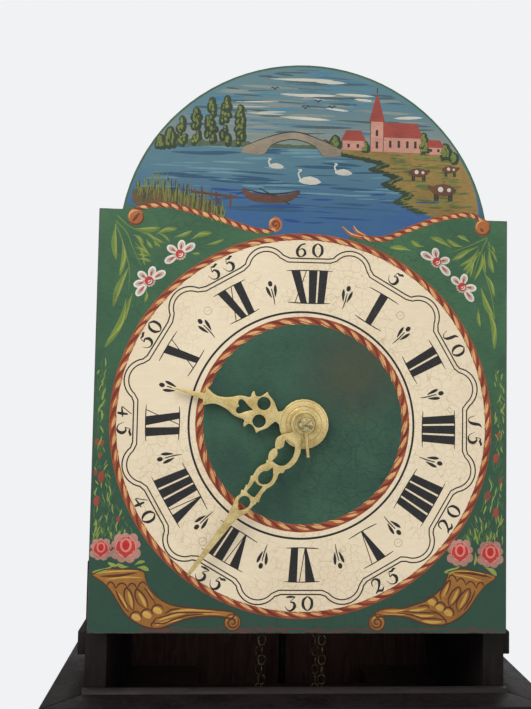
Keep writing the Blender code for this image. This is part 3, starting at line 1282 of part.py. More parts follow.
# Chain and weights
def chain_points():
    """Return the endless chain's route over both chain wheels, round the pulley and through the ring."""
    wheel, pulley = CHAIN_WHEEL_RADIUS, PULLEY_RADIUS
    points = []
    for i in range(9):
        x, z = polar(wheel, math.pi - math.pi * i / 8)
        points.append((x, -GOING_CHAIN, FIRST_Z + z))
    for i in range(9):
        y, z = polar(pulley, math.pi + math.pi * i / 8)
        points.append((wheel, -WEIGHT_DEPTH + y, PULLEY_Z + z))
    for i in range(9):
        x, z = polar(wheel, math.pi * i / 8)
        points.append((x, -STRIKE_CHAIN, FIRST_Z + z))
    for i in range(9):
        y, z = polar(pulley, -math.pi * i / 8)
        points.append((-wheel, -WEIGHT_DEPTH + y, PULLEY_Z + z))
    return points


def build_drive():
    """Make the endless chain, the weight on its pulley and the ring on the slack side."""
    curve = bpy.data.curves.new("drive_chain", "CURVE")
    curve.dimensions = "3D"
    curve.bevel_depth = CHAIN_RADIUS
    curve.bevel_resolution = 1
    curve.use_fill_caps = True
    points = chain_points()
    spline = curve.splines.new("POLY")
    spline.points.add(len(points) - 1)
    for point, where in zip(spline.points, points):
        point.co = (*where, 1.0)
    spline.use_cyclic_u = True
    place("drive_chain", curve, CHAIN, (0.0, 0.0, 0.0), (0.0, 0.0, 0.0))
    flange = PULLEY_RADIUS + 0.8 * CHAIN_RIM
    groove = PULLEY_RADIUS - GROOVE_DEEP
    sections = [
        (flange, GROOVE_HALF, CHAIN_WHEEL_HALF),
        (groove, -GROOVE_HALF, GROOVE_HALF),
        (flange, -CHAIN_WHEEL_HALF, -GROOVE_HALF),
    ]
    at = (-CHAIN_WHEEL_RADIUS, -WEIGHT_DEPTH, PULLEY_Z)
    turned("weight_pulley", sleeve(AXLE_RADIUS + RUN, *sections), BRASS, at, (0.0, UP, 0.0), 18, ring=True)
    inner = CHAIN_WHEEL_HALF + 0.0012
    outer = inner + STIRRUP_STRAP
    base = -PULLEY_RADIUS - CHAIN_RADIUS - STIRRUP_STRAP - 0.005
    top = 3 * AXLE_RADIUS
    strap = [(-outer, top), (-outer, base), (outer, base), (outer, top)]
    strap += [(inner, top), (inner, base + STIRRUP_STRAP), (-inner, base + STIRRUP_STRAP), (-inner, top)]
    where = (-CHAIN_WHEEL_RADIUS, PULLEY_Z)
    stirrup = flat(
        "stirrup", [strap], WEIGHT_DEPTH - STIRRUP_WIDTH / 2, WEIGHT_DEPTH + STIRRUP_WIDTH / 2, IRON, where
    )
    bpy.ops.mesh.primitive_cylinder_add(
        vertices=14,
        radius=AXLE_RADIUS,
        depth=2 * outer - STIRRUP_STRAP,
        location=at,
        rotation=(0.0, UP, 0.0),
    )
    axle = claim("pulley_axle", IRON)
    neck = PULLEY_Z + base
    head = neck - 0.012
    foot = head - WEIGHT_LENGTH
    profile = [(0.0, neck + STIRRUP_STRAP / 2), (0.0045, neck + STIRRUP_STRAP / 2), (0.0045, neck - 0.008)]
    profile += [(0.010, head), (0.8 * WEIGHT_RADIUS, head - 0.003), (WEIGHT_RADIUS, head - 0.012)]
    profile += [(WEIGHT_RADIUS, foot + 0.010), (0.8 * WEIGHT_RADIUS, foot + 0.002), (0.0, foot)]
    body = post("weight", profile, BRASS, (-CHAIN_WHEEL_RADIUS, WEIGHT_DEPTH), 24)
    join(body, stirrup, axle)
    ring_z = PULLEY_Z - PULLEY_RADIUS + CHAIN_RADIUS + GAP - (RING_RADIUS - RING_TUBE)
    bpy.ops.mesh.primitive_torus_add(
        major_segments=20,
        minor_segments=8,
        major_radius=RING_RADIUS,
        minor_radius=RING_TUBE,
        location=(CHAIN_WHEEL_RADIUS, -WEIGHT_DEPTH, ring_z),
        rotation=FACING,
    )
    claim("ring_weight", LEAD)


def smooth_round_pieces():
    """Shade round surfaces smooth and keep their corners sharp."""
    for obj in PARTS.objects:
        if obj.type == "MESH":
            obj.data.shade_smooth()
            obj.data.set_sharp_from_angle(angle=math.radians(35))


def main():
    """Build every piece of the clock."""
    build_case()
    build_dial()
    build_frame()
    build_motion()
    build_going()
    build_strike()
    build_pendulum()
    build_bell()
    build_drive()
    smooth_round_pieces()


main()
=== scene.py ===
"""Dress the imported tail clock: painted dial, brass hands, chain, varnished case, light and camera."""

import json
import logging
import math
import random
from dataclasses import dataclass, field
from enum import Enum

import bpy
from mathutils import Matrix, Vector

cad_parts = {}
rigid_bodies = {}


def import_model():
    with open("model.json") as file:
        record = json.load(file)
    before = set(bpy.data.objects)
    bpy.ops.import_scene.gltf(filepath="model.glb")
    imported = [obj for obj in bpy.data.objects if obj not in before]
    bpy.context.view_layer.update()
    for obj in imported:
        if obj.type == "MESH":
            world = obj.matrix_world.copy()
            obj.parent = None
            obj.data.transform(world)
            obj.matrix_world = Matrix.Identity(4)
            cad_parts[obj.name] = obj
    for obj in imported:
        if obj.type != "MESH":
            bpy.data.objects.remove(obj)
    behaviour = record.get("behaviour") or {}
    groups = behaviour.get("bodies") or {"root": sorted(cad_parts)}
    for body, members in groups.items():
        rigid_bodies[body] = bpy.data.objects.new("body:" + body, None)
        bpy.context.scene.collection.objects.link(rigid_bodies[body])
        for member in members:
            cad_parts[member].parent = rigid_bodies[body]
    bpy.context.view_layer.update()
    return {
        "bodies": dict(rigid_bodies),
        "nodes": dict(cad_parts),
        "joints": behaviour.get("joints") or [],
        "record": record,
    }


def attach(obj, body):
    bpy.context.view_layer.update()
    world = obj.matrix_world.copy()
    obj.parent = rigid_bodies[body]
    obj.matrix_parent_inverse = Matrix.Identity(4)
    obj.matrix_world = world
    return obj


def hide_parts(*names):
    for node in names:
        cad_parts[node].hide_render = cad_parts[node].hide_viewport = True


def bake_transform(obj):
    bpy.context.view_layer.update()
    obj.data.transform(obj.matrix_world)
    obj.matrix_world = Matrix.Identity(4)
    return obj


LOG = logging.getLogger("tail_clock")
Point = tuple[float, float]
Colour = tuple[float, float, float, float]
Piece = bpy.types.Object
Material = bpy.types.Material
Node = bpy.types.Node
Socket = bpy.types.NodeSocket
Tree = bpy.types.NodeTree

MILLI = 0.001
DIAL_FACE = 0.170
FACING = Matrix.Rotation(math.pi / 2, 4, "X")
# colour sockets of the node that mixes two colours
MIX_COLOURS = (6, 7)
MIX_RESULT = 2


class Slot(str, Enum):
    """Material slots of the record that the new pieces belong to."""

    PAINT = "dial_paint"
    HAND = "hand_brass"
    BRASS = "brass"
    CHAIN = "chain"


class Grain(Enum):
    """Directions that the grain of a board runs in."""

    ACROSS = (0.12, 1.0, 1.0)
    DEEP = (1.0, 0.12, 1.0)
    UPRIGHT = (1.0, 1.0, 0.12)


def srgb(red: int, green: int, blue: int) -> Colour:
    """Turn a colour as seen on a screen into a linear one.

    Args:
        red: red from 0 to 255.
        green: green from 0 to 255.
        blue: blue from 0 to 255.

    Returns:
        The linear colour with full alpha.
    """
    parts = []
    for value in (red, green, blue):
        share = value / 255
        parts.append(share / 12.92 if share <= 0.04045 else ((share + 0.055) / 1.055) ** 2.4)
    return (parts[0], parts[1], parts[2], 1.0)


def polar(radius: float, angle: float) -> Point:
    """Return the point at a clockwise angle in degrees from the top."""
    turn = math.radians(angle)
    return (radius * math.sin(turn), radius * math.cos(turn))


def arc(radius: float, start: float, end: float, count: int, centre: Point = (0.0, 0.0)) -> list[Point]:
    """Return points on a clockwise arc.

    Args:
        radius: radius in millimetres.
        start: first clockwise angle from the top, in degrees.
        end: last clockwise angle from the top, in degrees.
        count: number of steps.
        centre: centre of the arc.

    Returns:
        The points, both ends included.
    """
    points = []
    for step in range(count + 1):
        x, z = polar(radius, start + (end - start) * step / count)
        points.append((centre[0] + x, centre[1] + z))
    return points


def ring(radius: float, count: int = 96, centre: Point = (0.0, 0.0)) -> list[Point]:
    """Return a closed circle without its repeated end."""
    return arc(radius, 0, 360, count, centre)[:-1]


def flow(points: list[Point], per: int = 5) -> list[Point]:
    """Draw a smooth line through points.

    Args:
        points: points in millimetres.
        per: steps between two points.

    Returns:
        The denser line.
    """
    if len(points) < 3 or per < 2:
        return list(points)
    padded = [points[0], *points, points[-1]]
    line = []
    for i in range(len(points) - 1):
        p0, p1, p2, p3 = padded[i : i + 4]
        for step in range(per):
            t = step / per
            bends = []
            for a, b, c, d in zip(p0, p1, p2, p3):
                bend = 2 * b + (c - a) * t + (2 * a - 5 * b + 4 * c - d) * t * t
                bends.append(0.5 * (bend + (3 * b - a - 3 * c + d) * t * t * t))
            line.append((bends[0], bends[1]))
    line.append(points[-1])
    return line


def spread(values: list[float], count: int) -> list[float]:
    """Spread a few widths evenly over a line.

    Args:
        values: widths at even steps.
        count: number of points of the line.

    Returns:
        One width for each point.
    """
    if len(values) == 1 or count == 1:
        return [values[0]] * count
    widths = []
    for i in range(count):
        place = i / (count - 1) * (len(values) - 1)
        low = min(int(place), len(values) - 2)
        widths.append(values[low] + (values[low + 1] - values[low]) * (place - low))
    return widths


def spiral(
    centre: Point, start: float, sweep: float, outer: float, inner: float, count: int = 22
) -> list[Point]:
    """Return a curl that winds in to its centre.

    Args:
        centre: middle of the curl.
        start: clockwise angle from the top where it starts, in degrees.
        sweep: degrees that it turns, positive clockwise.
        outer: radius at the start.
        inner: radius at the end.
        count: number of steps.

    Returns:
        The points from outside to inside.
    """
    points = []
    for step in range(count + 1):
        share = step / count
        x, z = polar(outer + (inner - outer) * share, start + sweep * share)
        points.append((centre[0] + x, centre[1] + z))
    return points


def bowed(start: Point, end: Point, bend: float) -> list[Point]:
    """Return two points and a middle that stands aside by a share of their distance."""
    dx, dz = end[0] - start[0], end[1] - start[1]
    return [start, ((start[0] + end[0]) / 2 - dz * bend, (start[1] + end[1]) / 2 + dx * bend), end]


def alone(piece: Piece) -> None:
    """Select one piece and make it active.

    Args:
        piece: the piece.
    """
    bpy.ops.object.select_all(action="DESELECT")
    piece.select_set(True)
    bpy.context.view_layer.objects.active = piece


def close_seams(piece: Piece, reach: float = 1e-6) -> None:
    """Merge double points and turn all faces outwards.

    Args:
        piece: mesh that is closed.
        reach: distance of points that count as one, in metres.
    """
    alone(piece)
    bpy.ops.object.mode_set(mode="EDIT")
    bpy.ops.mesh.select_all(action="SELECT")
    bpy.ops.mesh.remove_doubles(threshold=reach)
    bpy.ops.mesh.dissolve_degenerate(threshold=reach)
    bpy.ops.mesh.normals_make_consistent(inside=False)
    bpy.ops.object.mode_set(mode="OBJECT")


def settle(piece: Piece) -> None:
    """Put a piece's place, turn and scale into its mesh."""
    alone(piece)
    bpy.ops.object.transform_apply(location=True, rotation=True, scale=True)


def fit(piece: Piece, body: str, slot: Slot, material: Material, *nodes: str) -> None:
    """Paint a finished piece and let it ride.

    Args:
        piece: finished mesh at the origin.
        body: body that carries it.
        slot: material slot that it belongs to; not used.
        material: its finish.
        nodes: nodes that it stands for.
    """
    piece.data.materials.clear()
    piece.data.materials.append(material)
    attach(piece, body)
    if nodes:
        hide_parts(*nodes)
    LOG.info("%s rides on %s", piece.name, body)


def curve_piece(name: str, flat: bool) -> Piece:
    """Start a curve that is drawn in millimetres.

    Args:
        name: name of the piece.
        flat: whether it stays in one plane.

    Returns:
        The piece, still empty.
    """
    data = bpy.data.curves.new(name, "CURVE")
    data.dimensions = "2D" if flat else "3D"
    piece = bpy.data.objects.new(name, data)
    bpy.context.scene.collection.objects.link(piece)
    return piece


def plate(name: str, loops: list[list[Point]], low: float, high: float, soft: float = 0.0) -> Piece:
    """Make a flat plate that stands on the dial.

    Args:
        name: name of the piece.
        loops: outlines and holes in millimetres.
        low: height of its back above the dial's face, in millimetres.
        high: height of its front.
        soft: rounding of its edges, in millimetres.

    Returns:
        The closed mesh.
    """
    piece = curve_piece(name, True)
    piece.data.fill_mode = "BOTH"
    piece.data.extrude = (high - low) / 2 - soft
    if soft:
        piece.data.bevel_depth = soft
        piece.data.bevel_resolution = 2
        piece.data.offset = -soft
    for loop in loops:
        spline = piece.data.splines.new("POLY")
        spline.points.add(len(loop) - 1)
        for dot, (x, z) in zip(spline.points, loop):
            dot.co = (x, z, 0.0, 1.0)
        spline.use_cyclic_u = True
    place = Matrix.Translation((0.0, -DIAL_FACE - (low + high) / 2 * MILLI, 0.0))
    piece.matrix_world = place @ FACING @ Matrix.Scale(MILLI, 4)
    alone(piece)
    bpy.ops.object.convert(target="MESH")
    settle(piece)
    close_seams(piece)
    if soft:
        bpy.ops.object.shade_smooth_by_angle(angle=math.radians(35))
    return piece


@dataclass
class Brush:
    """Strokes of one paint, gathered and then made one low relief."""

    strokes: list[tuple[list[Point], list[float], bool]] = field(default_factory=list)

    def stroke(self, points: list[Point], widths: list[float], per: int = 5) -> None:
        """Add a smooth stroke with half-widths in millimetres."""
        line = flow(points, per)
        self.strokes.append((line, spread(widths, len(line)), False))

    def line(self, points: list[Point], width: float, closed: bool = False) -> None:
        """Add an even line of straight pieces."""
        self.strokes.append((list(points), [width] * len(points), closed))

    def leaf(self, start: Point, end: Point, width: float, bend: float = 0.1) -> None:
        """Add a leaf that starts as a thin stalk and ends broad.

        Args:
            start: where the stalk starts.
            end: the leaf's tip.
            width: half of its greatest width.
            bend: sideways bow as a share of its length.
        """
        widths = [0.14, width * 0.25, width * 0.62, width, width, width * 0.7, width * 0.12]
        self.stroke(bowed(start, end, bend), widths, 6)

    def lens(self, start: Point, end: Point, width: float, bend: float = 0.0) -> None:
        """Add a stroke that is broad in its middle."""
        self.stroke(bowed(start, end, bend), [0.08, width * 0.75, width, width * 0.75, 0.08], 4)

    def dot(self, centre: Point, radius: float, tall: float = 1.0) -> None:
        """Add a round or upright oval spot.

        Args:
            centre: its middle.
            radius: half of its width.
            tall: its height as a share of its width.
        """
        steps = (-0.99, -0.8, -0.45, 0.0, 0.45, 0.8, 0.99)
        line = [(centre[0], centre[1] + radius * tall * step) for step in steps]
        self.strokes.append((line, [radius * math.sqrt(1 - step * step) for step in steps], False))

    def relief(self, name: str, base: float, rise: float = 0.05) -> Piece:
        """Make the strokes one mesh.

        Args:
            name: name of the piece.
            base: height of the strokes' middle above the dial, in millimetres.
            rise: thickness of a stroke as a share of its width.

        Returns:
            The closed mesh.
        """
        piece = curve_piece(name, False)
        piece.data.bevel_depth = 1.0
        piece.data.bevel_resolution = 1
        piece.data.use_fill_caps = True
        piece.data.twist_mode = "Z_UP"
        for line, widths, closed in self.strokes:
            spline = piece.data.splines.new("POLY")
            spline.points.add(len(line) - 1)
            for dot, (x, z), width in zip(spline.points, line, widths):
                dot.co = (x, z, 0.0, 1.0)
                dot.radius = max(width, 0.04)
            spline.use_cyclic_u = closed
        flat = Matrix.Diagonal((MILLI, MILLI, MILLI * rise, 1.0))
        piece.matrix_world = Matrix.Translation((0.0, -DIAL_FACE - base * MILLI, 0.0)) @ FACING @ flat
        alone(piece)
        bpy.ops.object.convert(target="MESH")
        settle(piece)
        close_seams(piece, 2e-7)
        bpy.ops.object.shade_smooth_by_angle(angle=math.radians(50))
        return piece


class Graph:
    """Nodes of one material or group, wired by name."""

    def __init__(self, tree: Tree) -> None:
        """Keep the tree that the nodes go into."""
        self.tree = tree

    def node(self, kind: str, **values: object) -> Node:
        """Add a node and set its attributes.

        Args:
            kind: node type without its ShaderNode start.
            values: attributes by name.

        Returns:
            The node.
        """
        made = self.tree.nodes.new("ShaderNode" + kind)
        for name, value in values.items():
            setattr(made, name, value)
        return made

    def wire(self, source: Socket, target: Socket) -> None:
        """Link two sockets."""
        self.tree.links.new(source, target)

    def feed(self, target: Socket, value: object) -> None:
        """Wire a socket to another, or give it a plain value.

        Args:
            target: socket that is fed.
            value: a socket, a number or a colour.
        """
        if isinstance(value, Socket):
            self.wire(value, target)
        else:
            target.default_value = value

    def maths(self, operation: str, first: object, second: object = 0.0) -> Socket:
        """Combine two values, each a number or a socket.

        Args:
            operation: name of the operation.
            first: first value.
            second: second value.

        Returns:
            The result's socket.
        """
        made = self.node("Math", operation=operation)
        self.feed(made.inputs[0], first)
        self.feed(made.inputs[1], second)
        return made.outputs[0]

    def times(self, first: object, second: object) -> Socket:
        """Multiply two values."""
        return self.maths("MULTIPLY", first, second)

    def blend(self, share: Socket, first: object, second: object) -> Socket:
        """Mix two colours by a mask.

        Args:
            share: mask from 0 to 1.
            first: colour or socket where the mask is 0.
            second: colour or socket where it is 1.

        Returns:
            The mixed colour's socket.
        """
        made = self.node("Mix", data_type="RGBA")
        self.wire(share, made.inputs[0])
        for index, value in zip(MIX_COLOURS, (first, second)):
            self.feed(made.inputs[index], value)
        return made.outputs[MIX_RESULT]

    def span(
        self, value: Socket, low: float, high: object, to_low: float = 0.0, to_high: float = 1.0
    ) -> Socket:
        """Map a value from one span to another, smoothly and clamped.

        Args:
            value: the value.
            low: start of its span.
            high: end of its span, a number or a socket.
            to_low: result at the start.
            to_high: result at the end.

        Returns:
            The result's socket.
        """
        made = self.node("MapRange", interpolation_type="SMOOTHSTEP")
        self.wire(value, made.inputs["Value"])
        for name, end in (("From Min", low), ("From Max", high), ("To Min", to_low), ("To Max", to_high)):
            self.feed(made.inputs[name], end)
        return made.outputs["Result"]

    def noise(self, vector: Socket, scale: object, detail: float = 4.0, rough: float = 0.55) -> Socket:
        """Add a noise texture.

        Args:
            vector: coordinates that it reads.
            scale: its scale, a number or a socket.
            detail: number of its finer layers.
            rough: strength of those layers.

        Returns:
            The noise's socket.
        """
        made = self.node("TexNoise")
        self.wire(vector, made.inputs["Vector"])
        for name, value in (("Scale", scale), ("Detail", detail), ("Roughness", rough)):
            self.feed(made.inputs[name], value)
        return made.outputs["Fac"]


class Effects:
    """Node groups that several finishes share."""

    def __init__(self) -> None:
        """Build each group once."""
        self.crackle = self.make_crackle()
        self.brushing = self.make_brushing()
        self.fibre = self.make_fibre()
        self.tarnish = self.make_tarnish()

    @staticmethod
    def start(name: str, inputs: tuple[str, ...], outputs: tuple[str, ...]) -> tuple[Graph, Node, Node]:
        """Begin a group that reads a vector and some values.

        Args:
            name: name of the group.
            inputs: names of the values that it reads.
            outputs: names of the values that it gives.

        Returns:
            Its graph, its input node and its output node.
        """
        tree = bpy.data.node_groups.new(name, "ShaderNodeTree")
        tree.interface.new_socket("Vector", in_out="INPUT", socket_type="NodeSocketVector")
        for way, names in (("INPUT", inputs), ("OUTPUT", outputs)):
            for value in names:
                tree.interface.new_socket(value, in_out=way, socket_type="NodeSocketFloat")
        return Graph(tree), tree.nodes.new("NodeGroupInput"), tree.nodes.new("NodeGroupOutput")

    def make_crackle(self) -> Tree:
        """Make fine age cracks, stronger in some places.

        Returns:
            The group.
        """
        graph, entry, leave = self.start("age_crackle", ("Scale", "Width"), ("Mask", "Height", "Cracks"))
        spot = entry.outputs["Vector"]
        warp = graph.node("TexNoise")
        graph.wire(spot, warp.inputs["Vector"])
        warp.inputs["Scale"].default_value = 60.0
        mix = graph.node("VectorMath", operation="MULTIPLY_ADD")
        graph.wire(warp.outputs["Color"], mix.inputs[0])
        mix.inputs[1].default_value = (0.012, 0.012, 0.012)
        graph.wire(spot, mix.inputs[2])
        cells = graph.node("TexVoronoi", feature="DISTANCE_TO_EDGE")
        graph.wire(mix.outputs[0], cells.inputs["Vector"])
        graph.wire(entry.outputs["Scale"], cells.inputs["Scale"])
        crack = graph.span(cells.outputs["Distance"], 0.0, entry.outputs["Width"], 1.0, 0.0)
        patch = graph.span(graph.noise(spot, 14.0, 2.0), 0.4, 0.62)
        mask = graph.times(crack, patch)
        graph.wire(mask, leave.inputs["Mask"])
        graph.wire(crack, leave.inputs["Cracks"])
        graph.wire(graph.maths("SUBTRACT", 1.0, mask), leave.inputs["Height"])
        return graph.tree

    def make_brushing(self) -> Tree:
        """Make the cloudy tone and fine streaks of hand-laid paint.

        Returns:
            The group.
        """
        graph, entry, leave = self.start("brushed_paint", ("Scale",), ("Tone", "Height"))
        spot, scale = entry.outputs["Vector"], entry.outputs["Scale"]
        cloud = graph.noise(spot, graph.times(scale, 0.25), 5.0, 0.6)
        streaks = graph.node("VectorMath", operation="MULTIPLY")
        graph.wire(spot, streaks.inputs[0])
        streaks.inputs[1].default_value = (0.35, 1.0, 1.6)
        fine = graph.noise(streaks.outputs[0], graph.times(scale, 6.0), 3.0, 0.6)
        tone = graph.maths("ADD", graph.times(cloud, 0.65), graph.times(fine, 0.35))
        graph.wire(graph.span(tone, 0.33, 0.67), leave.inputs["Tone"])
        graph.wire(fine, leave.inputs["Height"])
        return graph.tree

    def make_fibre(self) -> Tree:
        """Make the growth figure and the pores of wood.

        Returns:
            The group.
        """
        graph, entry, leave = self.start("wood_fibre", ("Scale",), ("Figure", "Pores"))
        spot, scale = entry.outputs["Vector"], entry.outputs["Scale"]
        bands = graph.maths("FRACT", graph.times(graph.noise(spot, scale, 3.0, 0.5), 7.0))
        figure = graph.span(bands, 0.05, 0.95)
        fine = graph.noise(spot, graph.times(scale, 14.0), 3.0, 0.65)
        both = graph.maths("ADD", graph.times(figure, 0.45), graph.times(fine, 0.55))
        graph.wire(both, leave.inputs["Figure"])
        graph.wire(graph.span(fine, 0.36, 0.5), leave.inputs["Pores"])
        return graph.tree

    def make_tarnish(self) -> Tree:
        """Make the spots, handling marks and fine scratches of old metal.

        Returns:
            The group.
        """
        graph, entry, leave = self.start("old_metal", ("Scale",), ("Mask", "Height"))
        spot, scale = entry.outputs["Vector"], entry.outputs["Scale"]
        cloud = graph.noise(spot, scale, 6.0, 0.62)
        spots = graph.noise(spot, graph.times(scale, 7.0), 4.0, 0.6)
        both = graph.maths("ADD", graph.times(cloud, 0.6), graph.times(spots, 0.4))
        graph.wire(graph.span(both, 0.38, 0.64), leave.inputs["Mask"])
        graph.wire(spots, leave.inputs["Height"])
        return graph.tree


@dataclass(frozen=True)
class Finish:
    """Colours and gloss that every finish has."""

    name: str
    colour: Colour
    shade: Colour
    rough: tuple[float, float] = (0.38, 0.55)

    def begin(self) -> tuple[Material, Graph, Node, Socket]:
        """Start a material.

        Returns:
            The material, its graph, its shader and its object coordinates.
        """
        material = bpy.data.materials.new(self.name)
        material.use_nodes = True
        graph = Graph(material.node_tree)
        shader = material.node_tree.nodes["Principled BSDF"]
        return material, graph, shader, graph.node("TexCoord").outputs["Object"]

    @staticmethod
    def group(graph: Graph, tree: Tree, vector: Socket, scale: float) -> Node:
        """Place a shared effect in a material.

        Args:
            graph: graph of the material.
            tree: the effect.
            vector: coordinates that it reads.
            scale: size of its pattern.

        Returns:
            The group node.
        """
        made = graph.node("Group", node_tree=tree)
        graph.wire(vector, made.inputs["Vector"])
        made.inputs["Scale"].default_value = scale
        return made

    def polish(self, graph: Graph, shader: Node, mask: Socket) -> None:
        """Let the roughness follow a mask."""
        graph.wire(graph.span(mask, 0, 1, *self.rough), shader.inputs["Roughness"])

    @staticmethod
    def bump(graph: Graph, shader: Node, height: Socket, strength: float, depth: float) -> None:
        """Give the shader a bump from a height.

        Args:
            graph: graph of the material.
            shader: its shader.
            height: height from 0 to 1.
            strength: strength of the bump.
            depth: depth of the bump in metres.
        """
        made = graph.node("Bump")
        made.inputs["Strength"].default_value = strength
        made.inputs["Distance"].default_value = depth
        graph.wire(height, made.inputs["Height"])
        graph.wire(made.outputs["Normal"], shader.inputs["Normal"])


@dataclass(frozen=True)
class Paint(Finish):
    """Oil paint on the dial, cracked with age."""

    crack: Colour = (0.05, 0.035, 0.02, 1.0)
    crack_share: float = 0.3
    crack_width: float = 0.03
    cell: float = 170.0
    tone: float = 90.0
    specular: float = 0.32
    depth: float = 0.0003

    def ground(self, graph: Graph, place: Socket, brushed: Node) -> Socket:
        """Return the colour under the cracks."""
        return graph.blend(brushed.outputs["Tone"], self.colour, self.shade)

    def split(self, graph: Graph, place: Socket, brushed: Node, cracks: Node) -> Socket:
        """Return how much the cracks show."""
        return graph.times(cracks.outputs["Mask"], self.crack_share)

    def height(self, graph: Graph, brushed: Node, cracks: Node) -> tuple[Socket, float]:
        """Return the height of the surface and the strength of its bump."""
        streaks = graph.times(brushed.outputs["Height"], 0.4)
        return graph.maths("ADD", cracks.outputs["Height"], streaks), 0.18

    def make(self, effects: Effects) -> Material:
        """Build the material.

        Args:
            effects: shared node groups.

        Returns:
            The material.
        """
        material, graph, shader, place = self.begin()
        brushed = self.group(graph, effects.brushing, place, self.tone)
        cracks = self.group(graph, effects.crackle, place, self.cell)
        cracks.inputs["Width"].default_value = self.crack_width
        colour = self.ground(graph, place, brushed)
        share = self.split(graph, place, brushed, cracks)
        graph.wire(graph.blend(share, colour, self.crack), shader.inputs["Base Color"])
        self.polish(graph, shader, brushed.outputs["Tone"])
        height, strength = self.height(graph, brushed, cracks)
        self.bump(graph, shader, height, strength, self.depth)
        shader.inputs["Specular IOR Level"].default_value = self.specular
        return material


@dataclass(frozen=True)
class Wash(Paint):
    """Paint that runs from one colour into another down the picture."""

    low: Colour = (0.2, 0.3, 0.35, 1.0)
    low_at: float = 0.15
    high_at: float = 0.25

    def ground(self, graph: Graph, place: Socket, brushed: Node) -> Socket:
        """Run one colour into the other.

        Args:
            graph: graph of the material.
            place: coordinates on the dial.
            brushed: the brushing effect.

        Returns:
            The colour under the cracks.
        """
        apart = graph.node("SeparateXYZ")
        graph.wire(place, apart.inputs[0])
        drift = graph.maths("MULTIPLY_ADD", brushed.outputs["Height"], 0.012)
        graph.wire(apart.outputs["Z"], drift.node.inputs[2])
        run = graph.blend(graph.span(drift, self.low_at, self.high_at), self.low, self.colour)
        return graph.blend(graph.times(brushed.outputs["Tone"], 0.6), run, self.shade)

    def height(self, graph: Graph, brushed: Node, cracks: Node) -> tuple[Socket, float]:
        """Return the height of the strokes and the strength of their bump."""
        return brushed.outputs["Height"], 0.12


@dataclass(frozen=True)
class Stained(Paint):
    """Ground paint with a worn brown patch."""

    stain: Colour = (0.12, 0.1, 0.06, 1.0)
    stain_at: Point = (0.035, 0.038)
    stain_size: float = 0.045
    cracks_at: Point = (0.036, -0.03)
    cracks_size: float = 0.05
    crack_rest: float = 0.12

    @staticmethod
    def near(graph: Graph, place: Socket, brushed: Node, middle: Point, size: float) -> Socket:
        """Measure from a place on the dial, unevenly as the brush went.

        Args:
            graph: graph of the material.
            place: coordinates on the dial.
            brushed: the brushing effect.
            middle: where the distance is nought.
            size: distance counted as one.

        Returns:
            The distance.
        """
        apart = graph.node("Mapping")
        graph.wire(place, apart.inputs["Vector"])
        apart.inputs["Location"].default_value = (-middle[0] / size, 0.0, -middle[1] / size)
        apart.inputs["Scale"].default_value = (1 / size, 0.0, 1 / size)
        reach = graph.node("VectorMath", operation="LENGTH")
        graph.wire(apart.outputs["Vector"], reach.inputs[0])
        return graph.maths("ADD", reach.outputs["Value"], graph.times(brushed.outputs["Tone"], 0.35))

    def ground(self, graph: Graph, place: Socket, brushed: Node) -> Socket:
        """Return the ground colour with its stain."""
        far = self.near(graph, place, brushed, self.stain_at, self.stain_size)
        return graph.blend(
            graph.span(far, 0.35, 1.25, 0.75, 0.0), super().ground(graph, place, brushed), self.stain
        )

    def split(self, graph: Graph, place: Socket, brushed: Node, cracks: Node) -> Socket:
        """Return how much the cracks show, most in one place."""
        far = self.near(graph, place, brushed, self.cracks_at, self.cracks_size)
        return graph.times(
            cracks.outputs["Cracks"], graph.span(far, 0.5, 1.5, self.crack_share, self.crack_rest)
        )

    def height(self, graph: Graph, brushed: Node, cracks: Node) -> tuple[Socket, float]:
        """Return the height of the cracks and the strength of their bump."""
        return cracks.outputs["Height"], 0.2


@dataclass(frozen=True)
class Wood(Finish):
    """Dark varnished oak with its grain along the board."""

    grain: Grain = Grain.UPRIGHT
    varnish: float = 0.02
    dust: Colour = srgb(52, 46, 44)
    dust_share: float = 0.22
    specular: float = 0.09

    def make(self, effects: Effects) -> Material:
        """Build the material.

        Args:
            effects: shared node groups.

        Returns:
            The material.
        """
        material, graph, shader, place = self.begin()
        turned = graph.node("Mapping")
        graph.wire(place, turned.inputs["Vector"])
        turned.inputs["Scale"].default_value = self.grain.value
        fibre = self.group(graph, effects.fibre, turned.outputs["Vector"], 55.0)
        worn = self.group(graph, effects.tarnish, place, 30.0)
        colour = graph.blend(fibre.outputs["Figure"], self.shade, self.colour)
        dusty = graph.times(worn.outputs["Mask"], self.dust_share)
        graph.wire(graph.blend(dusty, colour, self.dust), shader.inputs["Base Color"])
        self.polish(graph, shader, worn.outputs["Mask"])
        shader.inputs["Coat Weight"].default_value = self.varnish
        shader.inputs["Coat Roughness"].default_value = 0.3
        shader.inputs["Specular IOR Level"].default_value = self.specular
        self.bump(graph, shader, fibre.outputs["Pores"], 0.22, 0.0004)
        return material


@dataclass(frozen=True)
class Metal(Finish):
    """Metal with tarnish in its low places."""

    scale: float = 60.0
    bumpy: float = 0.12
    depth: float = 0.0004
    metallic: float = 1.0

    def tarnished(self, effects: Effects) -> tuple[Material, Node]:
        """Build a surface with spots of age.

        Args:
            effects: shared node groups.

        Returns:
            The material and its shader.
        """
        material, graph, shader, place = self.begin()
        old = self.group(graph, effects.tarnish, place, self.scale)
        graph.wire(graph.blend(old.outputs["Mask"], self.colour, self.shade), shader.inputs["Base Color"])
        self.polish(graph, shader, old.outputs["Mask"])
        shader.inputs["Metallic"].default_value = self.metallic
        self.bump(graph, shader, old.outputs["Height"], self.bumpy, self.depth)
        return material, shader

    def make(self, effects: Effects) -> Material:
        """Return the material."""
        return self.tarnished(effects)[0]


